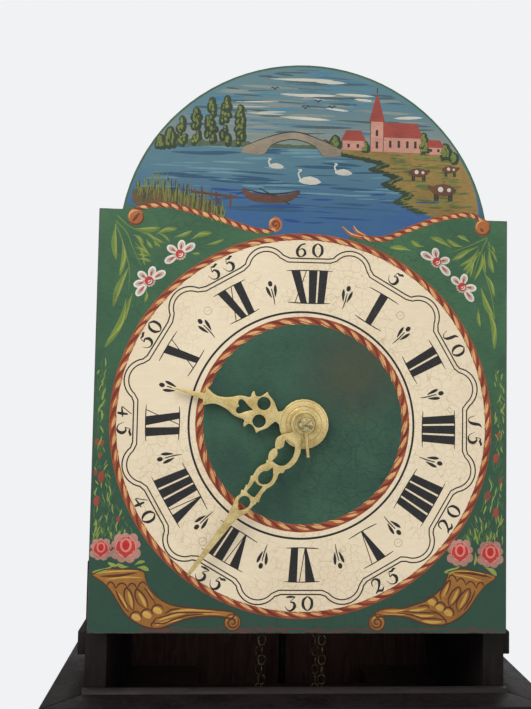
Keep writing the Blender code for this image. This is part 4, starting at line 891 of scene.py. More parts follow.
@dataclass(frozen=True)
class Glass(Metal):
    """Old window glass, slightly green and wavy."""

    scale: float = 18.0
    bumpy: float = 0.05
    depth: float = 0.0006
    metallic: float = 0.0
    bending: float = 1.5

    def make(self, effects: Effects) -> Material:
        """Build the material.

        Args:
            effects: shared node groups.

        Returns:
            The material.
        """
        material, shader = self.tarnished(effects)
        shader.inputs["Transmission Weight"].default_value = 1.0
        shader.inputs["IOR"].default_value = self.bending
        return material


OAK, VEIN = srgb(34, 29, 28), srgb(20, 16, 16)
SHEEN, DULL = (0.55, 0.75), (0.7, 0.85)
FIELD_PAINTS = (
    # the green ground runs darker towards the bottom: painted shade for the light falling off down the dial
    Wash("ground_green", srgb(63, 104, 70), srgb(34, 64, 50), cell=90.0, crack_share=0.35,
         low=srgb(38, 69, 56), low_at=-0.15, high_at=0.15, crack=srgb(26, 42, 32), crack_width=0.05),
    Stained("disc_green", srgb(52, 89, 69), srgb(36, 67, 56), cell=135.0, crack_share=0.55,
            stain=srgb(68, 70, 52), crack=srgb(26, 40, 32), crack_width=0.05, tone=135.0),
    Paint("ring_cream", srgb(237, 222, 193), srgb(227, 209, 179), crack=srgb(178, 156, 118),
          crack_share=0.5, crack_width=0.05, cell=190.0, tone=40.0),
    Paint("figure_black", srgb(30, 29, 30), srgb(22, 20, 21), crack=srgb(90, 84, 78), crack_share=0.2),
    Wash("sky", srgb(72, 116, 132), srgb(104, 124, 122), tone=34.0, low=srgb(136, 138, 126),
         low_at=0.196, high_at=0.236, crack_share=0.12),
    Wash("water", srgb(84, 120, 130), srgb(60, 100, 122), tone=40.0, low=srgb(44, 84, 138),
         low_at=0.15, high_at=0.19, crack_share=0.12),
)
# paints of the ornaments and of the picture, by their tone and their share of cracks
PLAIN_PAINTS = {
    (160, 0.3): (
        ("rope_orange", (168, 88, 52), (140, 64, 41)),
        ("curl_orange", (178, 112, 58), (150, 86, 44)),
        ("rope_dark", (126, 52, 34), (98, 40, 28)),
        ("rope_light", (224, 178, 122), (204, 144, 90)),
    ),
    (140, 0.3): (
        ("leaf_light", (112, 134, 62), (92, 114, 54)),
        ("leaf_pale", (146, 158, 78), (124, 140, 66)),
        ("leaf_dark", (78, 110, 58), (58, 90, 52)),
        ("horn_ochre", (164, 112, 50), (134, 88, 38)),
    ),
    (180, 0.1): (
        ("petal_white", (232, 226, 214), (206, 200, 186)),
        ("petal_grey", (196, 178, 164), (168, 156, 142)),
        ("flower_red", (196, 44, 42), (168, 34, 36)),
        ("rose_red", (190, 62, 56), (166, 48, 46)),
        ("rose_pale", (190, 142, 130), (150, 106, 94)),
        ("rose_pink", (224, 138, 124), (206, 112, 100)),
        ("horn_yellow", (206, 166, 86), (184, 140, 64)),
        ("horn_brown", (92, 46, 26), (72, 38, 24)),
    ),
    (200, 0.3): (
        ("bud_red", (164, 70, 58), (126, 64, 50)),
        ("worn_red", (104, 50, 46), (68, 54, 48)),
    ),
    (80, 0.1): (("cloud_white", (204, 200, 184), (178, 178, 168)),),
    (90, 0.3): (
        ("rivet_grey", (184, 168, 140), (168, 150, 124)),
        ("bank_ochre", (150, 122, 66), (116, 98, 54)),
        ("bank_green", (98, 108, 54), (72, 84, 44)),
        ("bank_brown", (104, 84, 48), (74, 62, 40)),
    ),
    (120, 0.3): (
        ("sky_blue", (56, 110, 140), (74, 124, 146)),
        ("sky_dark", (70, 88, 92), (58, 78, 86)),
        ("cloud_grey", (132, 140, 134), (114, 128, 128)),
        ("ripple_light", (106, 142, 150), (88, 128, 142)),
        ("ripple_dark", (44, 82, 108), (38, 72, 98)),
        ("ripple_deep", (36, 72, 132), (30, 60, 112)),
        ("bush_far", (84, 96, 74), (64, 80, 64)),
        ("bush_dark", (46, 62, 38), (34, 46, 32)),
        ("bush_light", (118, 128, 62), (92, 104, 52)),
        ("tile_red", (156, 70, 58), (128, 54, 48)),
        ("wall_pink", (196, 146, 128), (172, 118, 102)),
        ("stone_grey", (152, 140, 118), (122, 112, 96)),
        ("hull_brown", (104, 66, 46), (74, 48, 38)),
        ("line_dark", (48, 42, 38), (36, 33, 32)),
    ),
}
BOARDS = (
    Wood("oak_upright", OAK, VEIN, SHEEN, grain=Grain.UPRIGHT),
    Wood("oak_across", OAK, VEIN, SHEEN, grain=Grain.ACROSS),
    Wood("oak_deep", OAK, VEIN, SHEEN, grain=Grain.DEEP),
    # front rail: the same oak made lighter, a painted highlight for the light line along its top
    Wood("oak_rail", srgb(48, 42, 41), srgb(32, 27, 27), (0.5, 0.7), grain=Grain.ACROSS),
    # front ledge: the same oak made darker, painted shade for the lesser light on it than on the side ledges
    Wood("oak_ledge", srgb(24, 18, 17), srgb(14, 10, 10), (0.6, 0.8), grain=Grain.ACROSS),
    # back board: unvarnished oak made lighter than the other boards, partly its raw wood, partly painted
    # light for the dim inside of the case
    Wood("oak_back", srgb(122, 96, 91), srgb(84, 64, 61), DULL, grain=Grain.UPRIGHT, varnish=0.0),
    # console floor: unvarnished oak made lighter than the other boards, partly its raw wood, partly painted
    # light for the unlit floor inside the case
    Wood("oak_floor", srgb(76, 61, 57), srgb(48, 38, 36), DULL, grain=Grain.ACROSS, varnish=0.0),
)
METALS = (
    Metal("hand_pale_brass", srgb(210, 192, 138), srgb(176, 152, 98), (0.36, 0.52), scale=110.0),
    Metal("old_brass", srgb(190, 174, 128), srgb(80, 68, 46), (0.4, 0.65), scale=520.0, bumpy=0.9),
    Metal("cut_brass", srgb(196, 166, 98), srgb(168, 136, 74), (0.28, 0.42), bumpy=0.04),
    Metal("filed_steel", srgb(150, 150, 150), srgb(104, 102, 102), (0.3, 0.46)),
    # rod and crutch: iron darker than the forged iron, partly their black finish, partly painted shade for
    # the dark inside of the case
    Metal("black_iron", srgb(58, 54, 52), srgb(36, 33, 32), (0.5, 0.7), bumpy=0.2),
    Metal("forged_iron", srgb(92, 88, 86), srgb(58, 52, 50), (0.42, 0.62), bumpy=0.3),
    Metal("bell_bronze", srgb(186, 150, 92), srgb(156, 122, 70), (0.24, 0.38), scale=40.0, bumpy=0.02),
    Metal("grey_lead", srgb(142, 144, 148), srgb(98, 98, 102), (0.5, 0.68), bumpy=0.3),
    Metal("chain_bronze", srgb(122, 110, 82), srgb(68, 58, 44), (0.4, 0.6), scale=160.0),
    Glass("window_glass", srgb(236, 244, 238), srgb(226, 238, 230), (0.0, 0.04)),
)


class Workshop:
    """All finishes of the clock, each made when it is first asked for."""

    def __init__(self) -> None:
        """Make the shared effects and list the finishes."""
        self.effects = Effects()
        self.made: dict[str, Material] = {}
        plain = [
            Paint(name, srgb(*colour), srgb(*shade), tone=tone, crack_share=share)
            for (tone, share), rows in PLAIN_PAINTS.items()
            for name, colour, shade in rows
        ]
        self.finishes = {finish.name: finish for finish in (*FIELD_PAINTS, *plain, *BOARDS, *METALS)}

    def get(self, name: str) -> Material:
        """Return a finish's material, made once.

        Args:
            name: name of the finish.

        Returns:
            The material.
        """
        if name not in self.made:
            self.made[name] = self.finishes[name].make(self.effects)
        return self.made[name]


@dataclass
class Studio:
    """Camera, light and floor."""

    eye: tuple[float, float, float] = (-0.0545, -0.668, 0.0235)
    yaw: float = -3.14
    pitch: float = 2.79
    roll: float = -1.08
    focal_pixels: float = 714.0
    image_height: float = 709.0
    sensor: float = 36.0
    floor_middle: tuple[float, float, float] = (0.0, -0.1, -1.3)
    floor_radius: float = 1.5
    lit: tuple[float, float, float] = (0.0, -0.1, -0.05)
    daylight: Colour = (1.0, 0.99, 0.97, 1.0)
    daylight_strength: float = 0.48
    backdrop: Colour = srgb(241, 242, 244)
    lamps: tuple[tuple[str, tuple[float, float, float], float, float], ...] = (
        ("window_light", (-0.9, -1.3, 1.5), 1.3, 33.0),
        ("room_light", (1.3, -1.8, 0.9), 1.8, 6.0),
        ("back_light", (0.4, 1.6, 1.2), 1.6, 20.0),
    )

    def camera(self) -> None:
        """Set the camera where the photograph was taken."""
        data = bpy.data.cameras.new("camera")
        data.sensor_width = self.sensor
        data.lens = self.sensor * self.focal_pixels / self.image_height
        data.clip_start = 0.01
        body = bpy.data.objects.new("camera", data)
        bpy.context.scene.collection.objects.link(body)
        turn = Matrix.Rotation(math.radians(self.yaw), 3, "Z")
        turn = turn @ Matrix.Rotation(math.radians(self.pitch), 3, "X")
        turn = turn @ Matrix.Rotation(math.radians(self.roll), 3, "Y")
        right, ahead, up = turn.col[0], turn.col[1], turn.col[2]
        frame = Matrix((right, up, -ahead)).transposed().to_4x4()
        body.matrix_world = Matrix.Translation(self.eye) @ frame
        bpy.context.scene.camera = body

    def lamp(self, name: str, place: tuple[float, float, float], size: float, watts: float) -> None:
        """Hang a square soft lamp that faces the dial.

        Args:
            name: name of the lamp.
            place: where it hangs.
            size: side of its face.
            watts: its power.
        """
        data = bpy.data.lights.new(name, "AREA")
        data.size = size
        data.energy = watts
        body = bpy.data.objects.new(name, data)
        body.location = place
        aim = Vector(self.lit) - Vector(place)
        body.rotation_euler = aim.to_track_quat("-Z", "Y").to_euler()
        bpy.context.scene.collection.objects.link(body)

    def world(self) -> None:
        """Give plain light, and a near-white background to what looks at it."""
        world = bpy.data.worlds.new("studio")
        bpy.context.scene.world = world
        world.use_nodes = True
        graph = Graph(world.node_tree)
        world.node_tree.nodes.clear()
        path = graph.node("LightPath")
        seen = graph.maths("MAXIMUM", path.outputs["Is Camera Ray"], path.outputs["Is Glossy Ray"])
        seen = graph.maths("MAXIMUM", seen, path.outputs["Is Transmission Ray"])
        light = graph.node("Background")
        light.inputs["Color"].default_value = self.daylight
        light.inputs["Strength"].default_value = self.daylight_strength
        wall = graph.node("Background")
        wall.inputs["Color"].default_value = self.backdrop
        wall.inputs["Strength"].default_value = 1.0
        mix = graph.node("MixShader")
        graph.wire(seen, mix.inputs[0])
        graph.wire(light.outputs[0], mix.inputs[1])
        graph.wire(wall.outputs[0], mix.inputs[2])
        graph.wire(mix.outputs[0], graph.node("OutputWorld").inputs["Surface"])

    def floor(self) -> None:
        """Lay a pale round floor below the clock."""
        bpy.ops.object.select_all(action="DESELECT")
        bpy.ops.mesh.primitive_circle_add(
            vertices=64, radius=self.floor_radius, fill_type="NGON", location=self.floor_middle
        )
        floor = bpy.context.active_object
        floor.name = "floor"
        material = bpy.data.materials.new("pale_floor")
        material.use_nodes = True
        graph = Graph(material.node_tree)
        shader = material.node_tree.nodes["Principled BSDF"]
        place = graph.node("TexCoord").outputs["Object"]
        cloud = graph.noise(place, 6.0)
        colour = graph.blend(cloud, srgb(236, 236, 236), srgb(228, 228, 228))
        graph.wire(colour, shader.inputs["Base Color"])
        shader.inputs["Roughness"].default_value = 0.8
        floor.data.materials.append(material)

    def build(self) -> None:
        """Set up camera, light and floor."""
        bpy.context.scene.view_settings.view_transform = "Standard"
        self.camera()
        self.world()
        for lamp in self.lamps:
            self.lamp(*lamp)
        self.floor()


@dataclass
class Painted:
    """A group of painted pieces on the dial."""

    shop: Workshop
    rise: float = 0.05

    def put(self, brush: Brush, name: str, base: float, finish: str, rise: float = 0.0) -> None:
        """Make a brush's strokes a piece of the dial, as thick as the group's strokes are or as told."""
        fit(brush.relief(name, base, rise or self.rise), "case", Slot.PAINT, self.shop.get(finish))

    def sheet(self, name: str, loops: list[list[Point]], low: float, high: float, finish: str) -> None:
        """Make flat shapes of one colour a piece of the dial."""
        fit(plate(name, loops, low, high), "case", Slot.PAINT, self.shop.get(finish))


@dataclass
class DialGround(Painted):
    """Flat colours of the dial: green ground, cream ring, inner disc and arch."""

    half: float = 144.4
    bottom: float = -143.3
    shoulder: float = 146.9
    arch_half: float = 128.6
    arch_top: float = 255.0
    hub: float = 8.0
    ring_outer: float = 131.0
    ring_inner: float = 72.0
    disc: float = 72.4
    worn_from: float = -112.0
    worn_to: float = 134.0
    worn_end: float = 142.0
    rivet: float = 2.7
    rivets: tuple[Point, ...] = ((-68, 77.5), (68, 77.5), (-68, -81.7), (68, -81.7))

    def outline(self) -> list[Point]:
        """Return the dial's edge."""
        edge = [(-self.half, self.bottom), (self.half, self.bottom), (self.half, self.shoulder)]
        return edge + list(reversed(self.arch())) + [(-self.half, self.shoulder)]

    def arch(self) -> list[Point]:
        """Draw the arch.

        Returns:
            Its points from left to right.
        """
        rise = self.arch_top - self.shoulder
        radius = (self.arch_half**2 + rise**2) / (2 * rise)
        half = math.degrees(math.asin(self.arch_half / radius))
        return arc(radius, -half, half, 48, (0.0, self.arch_top - radius))

    def build(self) -> None:
        """Lay the flat colours over each other."""
        self.sheet("dial_ground", [self.outline(), ring(self.hub)], -0.02, 0.12, "ground_green")
        band = [ring(self.ring_outer, 160), ring(self.ring_inner, 120)]
        self.sheet("dial_ring", band, 0.05, 0.22, "ring_cream")
        self.sheet("dial_disc", [ring(self.disc, 120), ring(self.hub)], 0.05, 0.2, "disc_green")
        wear, rivets = Brush(), Brush()
        chance = random.Random(4)
        x = self.worn_from
        while x < self.worn_to:
            long = chance.uniform(4, 18)
            z = self.bottom + chance.uniform(0.7, 3.2) * (0.6 if x < -90 else 1.0)
            end = (min(x + long, self.worn_end), z + chance.uniform(-0.5, 0.5))
            wear.lens((x, z), end, chance.uniform(0.3, 0.8))
            x += long * chance.uniform(0.15, 0.7)
        for x, z in self.rivets:
            rivets.line(ring(self.rivet, 24, (x, z)), 0.22, True)
            rivets.lens((x - 1.2, z - 0.6), (x + 1.4, z + 0.8), 0.18)
        self.put(wear, "dial_worn_edge", 0.13, "worn_red")
        self.put(rivets, "dial_rivets", 0.22, "rivet_grey", 0.1)


# strokes of the small figures in a square of one by one: points, and half-widths in millimetres
DIGITS: dict[str, list[tuple[list[Point], list[float]]]] = {
    "0": [([(0.5, 1), (0.13, 0.74), (0.11, 0.3), (0.5, 0), (0.88, 0.28), (0.88, 0.74), (0.5, 1)],
           [0.28, 0.95, 1.05, 0.3, 1, 0.95, 0.28])],
    "1": [([(1, 1), (0.74, 0.82), (0.68, 0.5), (0.58, 0.2), (0.36, 0.02), (0.06, 0.12), (-0.1, 0.5)],
           [0.15, 0.9, 1.15, 1, 0.4, 0.28, 0.12])],
    "2": [([(0.06, 0.6), (0.2, 0.92), (0.56, 1), (0.84, 0.76), (0.66, 0.44), (0.3, 0.16), (0.04, 0.02)],
           [0.25, 0.5, 0.6, 1.1, 0.8, 0.4, 0.25]),
          ([(0.04, 0.04), (0.36, 0.14), (0.7, 0.02), (1, 0.2)], [0.3, 0.9, 0.85, 0.2])],
    "3": [([(0.1, 0.92), (0.5, 0.97), (0.95, 0.95)], [0.4, 0.85, 0.3]),
          ([(0.95, 0.95), (0.5, 0.62), (0.8, 0.54), (0.9, 0.28), (0.66, 0.03), (0.3, 0), (-0.02, 0.28)],
           [0.22, 0.3, 0.8, 1.15, 0.8, 0.4, 0.15])],
    "4": [([(0.7, 1), (0.34, 0.64), (0.04, 0.32), (0.5, 0.34), (1, 0.38)], [0.3, 0.3, 0.35, 0.7, 0.25]),
          ([(0.72, 0.74), (0.66, 0.3), (0.6, 0)], [0.5, 1.05, 0.7])],
    "5": [([(0.5, 0.95), (0.74, 0.88), (1, 0.96), (1.16, 0.9)], [0.3, 0.8, 0.85, 0.2]),
          ([(0.5, 0.95), (0.36, 0.58), (0.62, 0.64), (0.86, 0.4), (0.76, 0.12), (0.46, 0), (0.1, 0.12),
            (-0.12, 0.48)],
           [0.25, 0.28, 0.6, 1.15, 1, 0.5, 0.3, 0.12])],
    "6": [([(0.9, 0.96), (0.45, 0.84), (0.13, 0.46), (0.2, 0.1), (0.52, 0), (0.86, 0.2), (0.8, 0.48),
            (0.5, 0.58), (0.2, 0.4)], [0.5, 0.6, 1.05, 0.9, 0.35, 0.95, 0.8, 0.35, 0.2])],
}


@dataclass
class Figures(Painted):
    """Hour and minute figures with their lines, each a little off its place as a hand drew it."""

    centre: Point = (-0.8, -0.6)
    foot: float = 85.0
    head: float = 108.4
    taper: float = 0.81
    bar: float = 6.1
    broad: float = 11.3
    gap: float = 1.4
    minute_radius: float = 122.9
    minute_height: float = 9.6
    minute_width: float = 7.4
    minute_apart: float = 5.9
    circle: float = 78.8
    outer_line: tuple[float, ...] = (116.8, 13.6, 15.0, 112.5, 66)
    inner_line: tuple[float, ...] = (114.0, 15.2, 12.2, 112.1, 64)
    romans: tuple[str, ...] = ("XII", "I", "II", "III", "IIII", "V", "VI", "VII", "VIII", "IX", "X", "XI")
    shifts: tuple[float, ...] = (3.7, 3.5, 3.6, 2.0, 1.0, -1.2, -1.5, -0.3, -0.7, -0.4, -1.4, 1.6)
    minute_shifts: tuple[float, ...] = (3.4, 3.6, 2.5, 2.2, 3.0, 2.3, 0.1, 0.9, 2.1, 1.0, -0.6, 3.3)
    half_shifts: tuple[float, ...] = (5.6, 4.1, 2.6, -0.5, 3.4, -2.1, 0.8, 0.2, 0.8, -0.4, -1.4, 2.2)

    def spot(self, angle: float, across: float, out: float) -> Point:
        """Return a point given across and outwards at a clock angle."""
        x, z = polar(1.0, angle)
        return (self.centre[0] + x * out + z * across, self.centre[1] + z * out - x * across)

    def bars(self, loops: list[list[Point]], lines: Brush, hour: int, text: str) -> None:
        """Draw one hour figure, drawn together towards the hub.

        Args:
            loops: outlines of broad strokes, added to.
            lines: thin strokes, added to.
            hour: hour of the figure.
            text: its letters.
        """
        angle, shift = hour * 30.0, self.shifts[hour]

        def at(across: float, high: bool) -> Point:
            """Return a point on the figure's upper or lower line."""
            out = self.head if high else self.foot
            return self.spot(angle, shift + across * (1.0 if high else self.taper), out)

        widths = [self.bar if letter == "I" else self.broad for letter in text]
        total = sum(widths) + self.gap * (len(text) - 1)
        x = -total / 2
        for letter, width in zip(text, widths):
            end = x + width
            if letter == "I":
                corners = (x, end, end, x)
            elif letter == "V":
                corners = (x, x + 6.9, x + 0.64 * width, x + 0.5 * width)
                lines.line([at(end - 0.3, True), at(x + 0.6 * width, False)], 0.3)
            else:
                corners = (x, x + 6.3, end, end - 5.6)
                lines.line([at(end - 0.3, True), at(x + 0.6, False)], 0.3)
            loops.append([at(across, index < 2) for index, across in enumerate(corners)])
            x = end + self.gap
        over = max(12.0, total / 2 + 3.2)
        for out, lean, share in ((self.head, 0.5, 1.0), (self.foot, -0.5, 0.92)):
            reach = over * share
            lines.stroke(
                [self.spot(angle, shift - reach, out - lean), self.spot(angle, shift, out),
                 self.spot(angle, shift + reach, out - lean * 0.5)],
                [0.2, 0.42, 0.34, 0.4, 0.16],
            )

    def half_hour(self, lines: Brush, hour: int) -> None:
        """Draw the mark between two hours: a bud on two leaves and a stalk.

        Args:
            lines: strokes, added to.
            hour: hour before the mark.
        """
        angle, shift = hour * 30.0 + 15.0, self.half_shifts[hour]
        parts = [
            ([(0.1, 103.1), (0, 101.1), (0, 99.1)], [0.35, 1.35, 1.55, 1.35, 0.35]),
            ([(0, 97.6), (0.1, 91), (-0.4, 85.8)], [0.34, 0.42, 0.4, 0.16]),
        ]
        for side in (-1, 1):
            leaf = [(side * 1.3, 91.2), (side * 2.15, 94.4), (side * 2.7, 97.1), (side * 3.2, 99.7)]
            parts.append((leaf, [0.15, 0.75, 1.1, 1.0, 0.2]))
        for points, widths in parts:
            lines.stroke([self.spot(angle, shift + across, out) for across, out in points], widths, 4)

    def digit(self, lines: Brush, letter: str, angle: float, place: float, turned: bool) -> None:
        """Draw one small figure of the minutes.

        Args:
            lines: strokes, added to.
            letter: the figure.
            angle: clock angle of its pair.
            place: clockwise distance of its middle from that angle.
            turned: whether its top points to the hub.
        """
        sign = -1 if turned else 1
        for points, widths in DIGITS[letter]:
            placed = []
            for across, up in points:
                out = self.minute_radius + sign * (up - 0.5) * self.minute_height
                placed.append(self.spot(angle, place + sign * (across - 0.5) * self.minute_width, out))
            lines.stroke(placed, widths, 4)

    def scallop(self, chord: float, half: float, lobe: float, centre: float, sweep: float) -> list[Point]:
        """Return the line of twelve flats and lobes.

        Args:
            chord: distance of a flat from the hub.
            half: half of a flat's length.
            lobe: radius of a lobe.
            centre: distance of a lobe's centre from the hub.
            sweep: half of a lobe's sweep in degrees.

        Returns:
            The closed line.
        """
        points = []
        for hour in range(12):
            angle, shift = hour * 30.0, self.shifts[hour] * 0.8 + 0.3
            after = self.shifts[(hour + 1) % 12] * 0.8 + 0.3
            points.append(self.spot(angle, shift - half, chord))
            points.append(self.spot(angle, shift + half, chord))
            turn = angle + 15.0
            middle = self.spot(turn, (shift + after) / 2, centre)
            points.extend(arc(lobe, turn - sweep, turn + sweep, 14, middle))
        return points

    def build(self) -> None:
        """Draw all figures and lines."""
        loops: list[list[Point]] = []
        lines = Brush()
        for hour, text in enumerate(self.romans):
            self.bars(loops, lines, hour, text)
            self.half_hour(lines, hour)
            minutes = str(hour * 5 or 60)
            turned = 4 <= hour <= 9
            shift = self.minute_shifts[hour]
            if len(minutes) == 1:
                self.digit(lines, minutes, hour * 30.0, shift, turned)
            else:
                apart = -self.minute_apart if turned else self.minute_apart
                self.digit(lines, minutes[0], hour * 30.0, shift - apart, turned)
                self.digit(lines, minutes[1], hour * 30.0, shift + apart, turned)
        for measures, width in ((self.outer_line, 0.48), (self.inner_line, 0.45)):
            lines.line(self.scallop(*measures), width, True)
        lines.line(ring(self.circle, 140, self.centre), 0.75, True)
        self.sheet("figure_bars", loops, 0.1, 0.27, "figure_black")
        self.put(lines, "figure_lines", 0.23, "figure_black", 0.1)


@dataclass
class Ropes(Painted):
    """Painted ropes round the rings and under the arch."""

    rings: tuple[tuple[float, int, float, float], ...] = ((131.4, 180, 5.2, 13), (72.5, 120, 6, 12.8))
    swags: tuple[tuple[Point, ...], ...] = (
        ((-121, 146.6), (-115, 149.4), (-105.9, 151.2), (-96.1, 151.3), (-86.3, 149.2), (-66.5, 144.4),
         (-46.7, 138), (-36.7, 135.6), (-29, 135), (-22.5, 136.4)),
        ((37, 133.2), (44, 132), (52.8, 131.6), (59.8, 133.2), (76, 140.2), (94.2, 147.2), (109.5, 150.6),
         (118.7, 151), (126.5, 147)),
    )
    swag_width: float = 4.2
    swag_pitch: float = 7.4
    swag_glow: float = 0.24
    tails: tuple[tuple[Point, ...], ...] = (
        ((40, 132.6), (32, 134.4), (25.4, 139.6)),
        ((42, 133.4), (36, 136.6), (33.4, 140.6)),
    )
    curls: tuple[tuple[float, float, float], ...] = (
        (-119.8, 142.2, 5.5), (-21.9, 139.8, 5), (127, 142.4, 5.6),
    )
    base: Brush = field(default_factory=Brush)
    dark: Brush = field(default_factory=Brush)
    light: Brush = field(default_factory=Brush)

    def lay(
        self, path: list[Point], width: float, pitch: float, closed: bool, seed: int, glow: float = 0.18
    ) -> None:
        """Lay one rope along a path.

        Args:
            path: line of its middle.
            width: its width.
            pitch: length of one turn of its strands.
            closed: whether it runs into itself.
            seed: start of the small unevenness of the hand.
            glow: half-width of the lights as a share of the rope's width.
        """
        chance = random.Random(seed)
        line = path + [path[0]] if closed else path
        lengths = [0.0]
        for (x0, z0), (x1, z1) in zip(line, line[1:]):
            lengths.append(lengths[-1] + math.hypot(x1 - x0, z1 - z0))
        total = lengths[-1]
        count = max(2, round(total / pitch))
        pitch = total / count

        def at(along: float, out: float) -> Point:
            """Find a point beside the path.

            Args:
                along: distance from the start of the path.
                out: distance to its left.

            Returns:
                The point.
            """
            along = along % total if closed else min(max(along, 0.0), total - 1e-6)
            i = max(k for k, value in enumerate(lengths[:-1]) if value <= along)
            (x0, z0), (x1, z1) = line[i], line[i + 1]
            size = lengths[i + 1] - lengths[i]
            share = (along - lengths[i]) / size
            nx, nz = -(z1 - z0) / size, (x1 - x0) / size
            return (x0 + (x1 - x0) * share + nx * out, z0 + (z1 - z0) * share + nz * out)

        if closed:
            self.base.strokes.append((path, [width / 2] * len(path), True))
        else:
            self.base.stroke(path, [width * 0.3, width * 0.5, width * 0.5, width * 0.5, width * 0.3], 1)
        for i in range(count):
            s = (i + 0.5 + chance.uniform(-0.08, 0.08)) * pitch
            thick = width * chance.uniform(0.13, 0.17)
            self.dark.stroke(
                [at(s - 0.62 * pitch, 0.42 * width), at(s - 0.2 * pitch, 0.2 * width),
                 at(s + 0.2 * pitch, -0.2 * width), at(s + 0.62 * pitch, -0.42 * width)],
                [0.12, thick, thick, 0.12], 3,
            )
            s += 0.5 * pitch
            for shift, full in ((-0.04, glow), (-0.3, 0.06)):
                long = chance.uniform(0.28, 0.42) * pitch
                thick = width * full * chance.uniform(0.7, 1.1)
                slide = chance.uniform(-0.12, 0.12) * pitch
                self.light.stroke(
                    [at(s + slide - long, (0.2 + shift) * width), at(s + slide, shift * width),
                     at(s + slide + long, (shift - 0.2) * width)],
                    [0.1, thick, thick, 0.1], 3,
                )

    def build(self) -> None:
        """Lay the two rings and the two ropes under the arch."""
        for seed, (radius, count, width, pitch) in enumerate(self.rings, 1):
            self.lay(ring(radius, count), width, pitch, True, seed)
        for seed, swag in enumerate(self.swags, 1 + len(self.rings)):
            self.lay(flow(list(swag), 6), self.swag_width, self.swag_pitch, False, seed, self.swag_glow)
        for tail in self.tails:
            self.base.stroke(list(tail), [1.7, 1.2, 0.3])
            self.light.stroke([(x + 0.4, z + 0.3) for x, z in tail], [0.2, 0.45, 0.1])
        curls, coils, lights = Brush(), Brush(), Brush()
        for x, z, size in self.curls:
            curls.dot((x, z), size, 1.12)
            lights.stroke(arc(size * 0.8, -110, 20, 8, (x, z)), [0.1, 0.6, 0.1], 1)
        coils.stroke([(-121.8, 139.2), (-119.8, 141.6), (-117.4, 144.8)], [0.5, 1, 0.4])
        coils.stroke([(125.6, 141.6), (126.4, 140.2), (127.8, 140)], [0.5, 0.9, 0.5])
        middle = self.curls[1][:2]
        coils.stroke(spiral(middle, -150, -520, 3.5, 0.5), [0.15, 0.5, 0.6, 0.6, 0.5], 1)
        for x, z, size in self.curls[::2]:
            coils.stroke(arc(size * 0.96, 60, 250, 12, (x, z)), [0.1, 0.35, 0.4, 0.35, 0.1], 1)
        self.put(self.base, "rope_body", 0.18, "rope_orange")
        self.put(curls, "rope_curls", 0.16, "curl_orange")
        self.put(self.dark, "rope_shadows", 0.32, "rope_dark", 0.06)
        self.put(coils, "rope_curl_lines", 0.47, "rope_dark", 0.06)
        self.put(self.light, "rope_lights", 0.34, "rope_light", 0.06)
        self.put(lights, "rope_curl_lights", 0.47, "rope_light", 0.06)


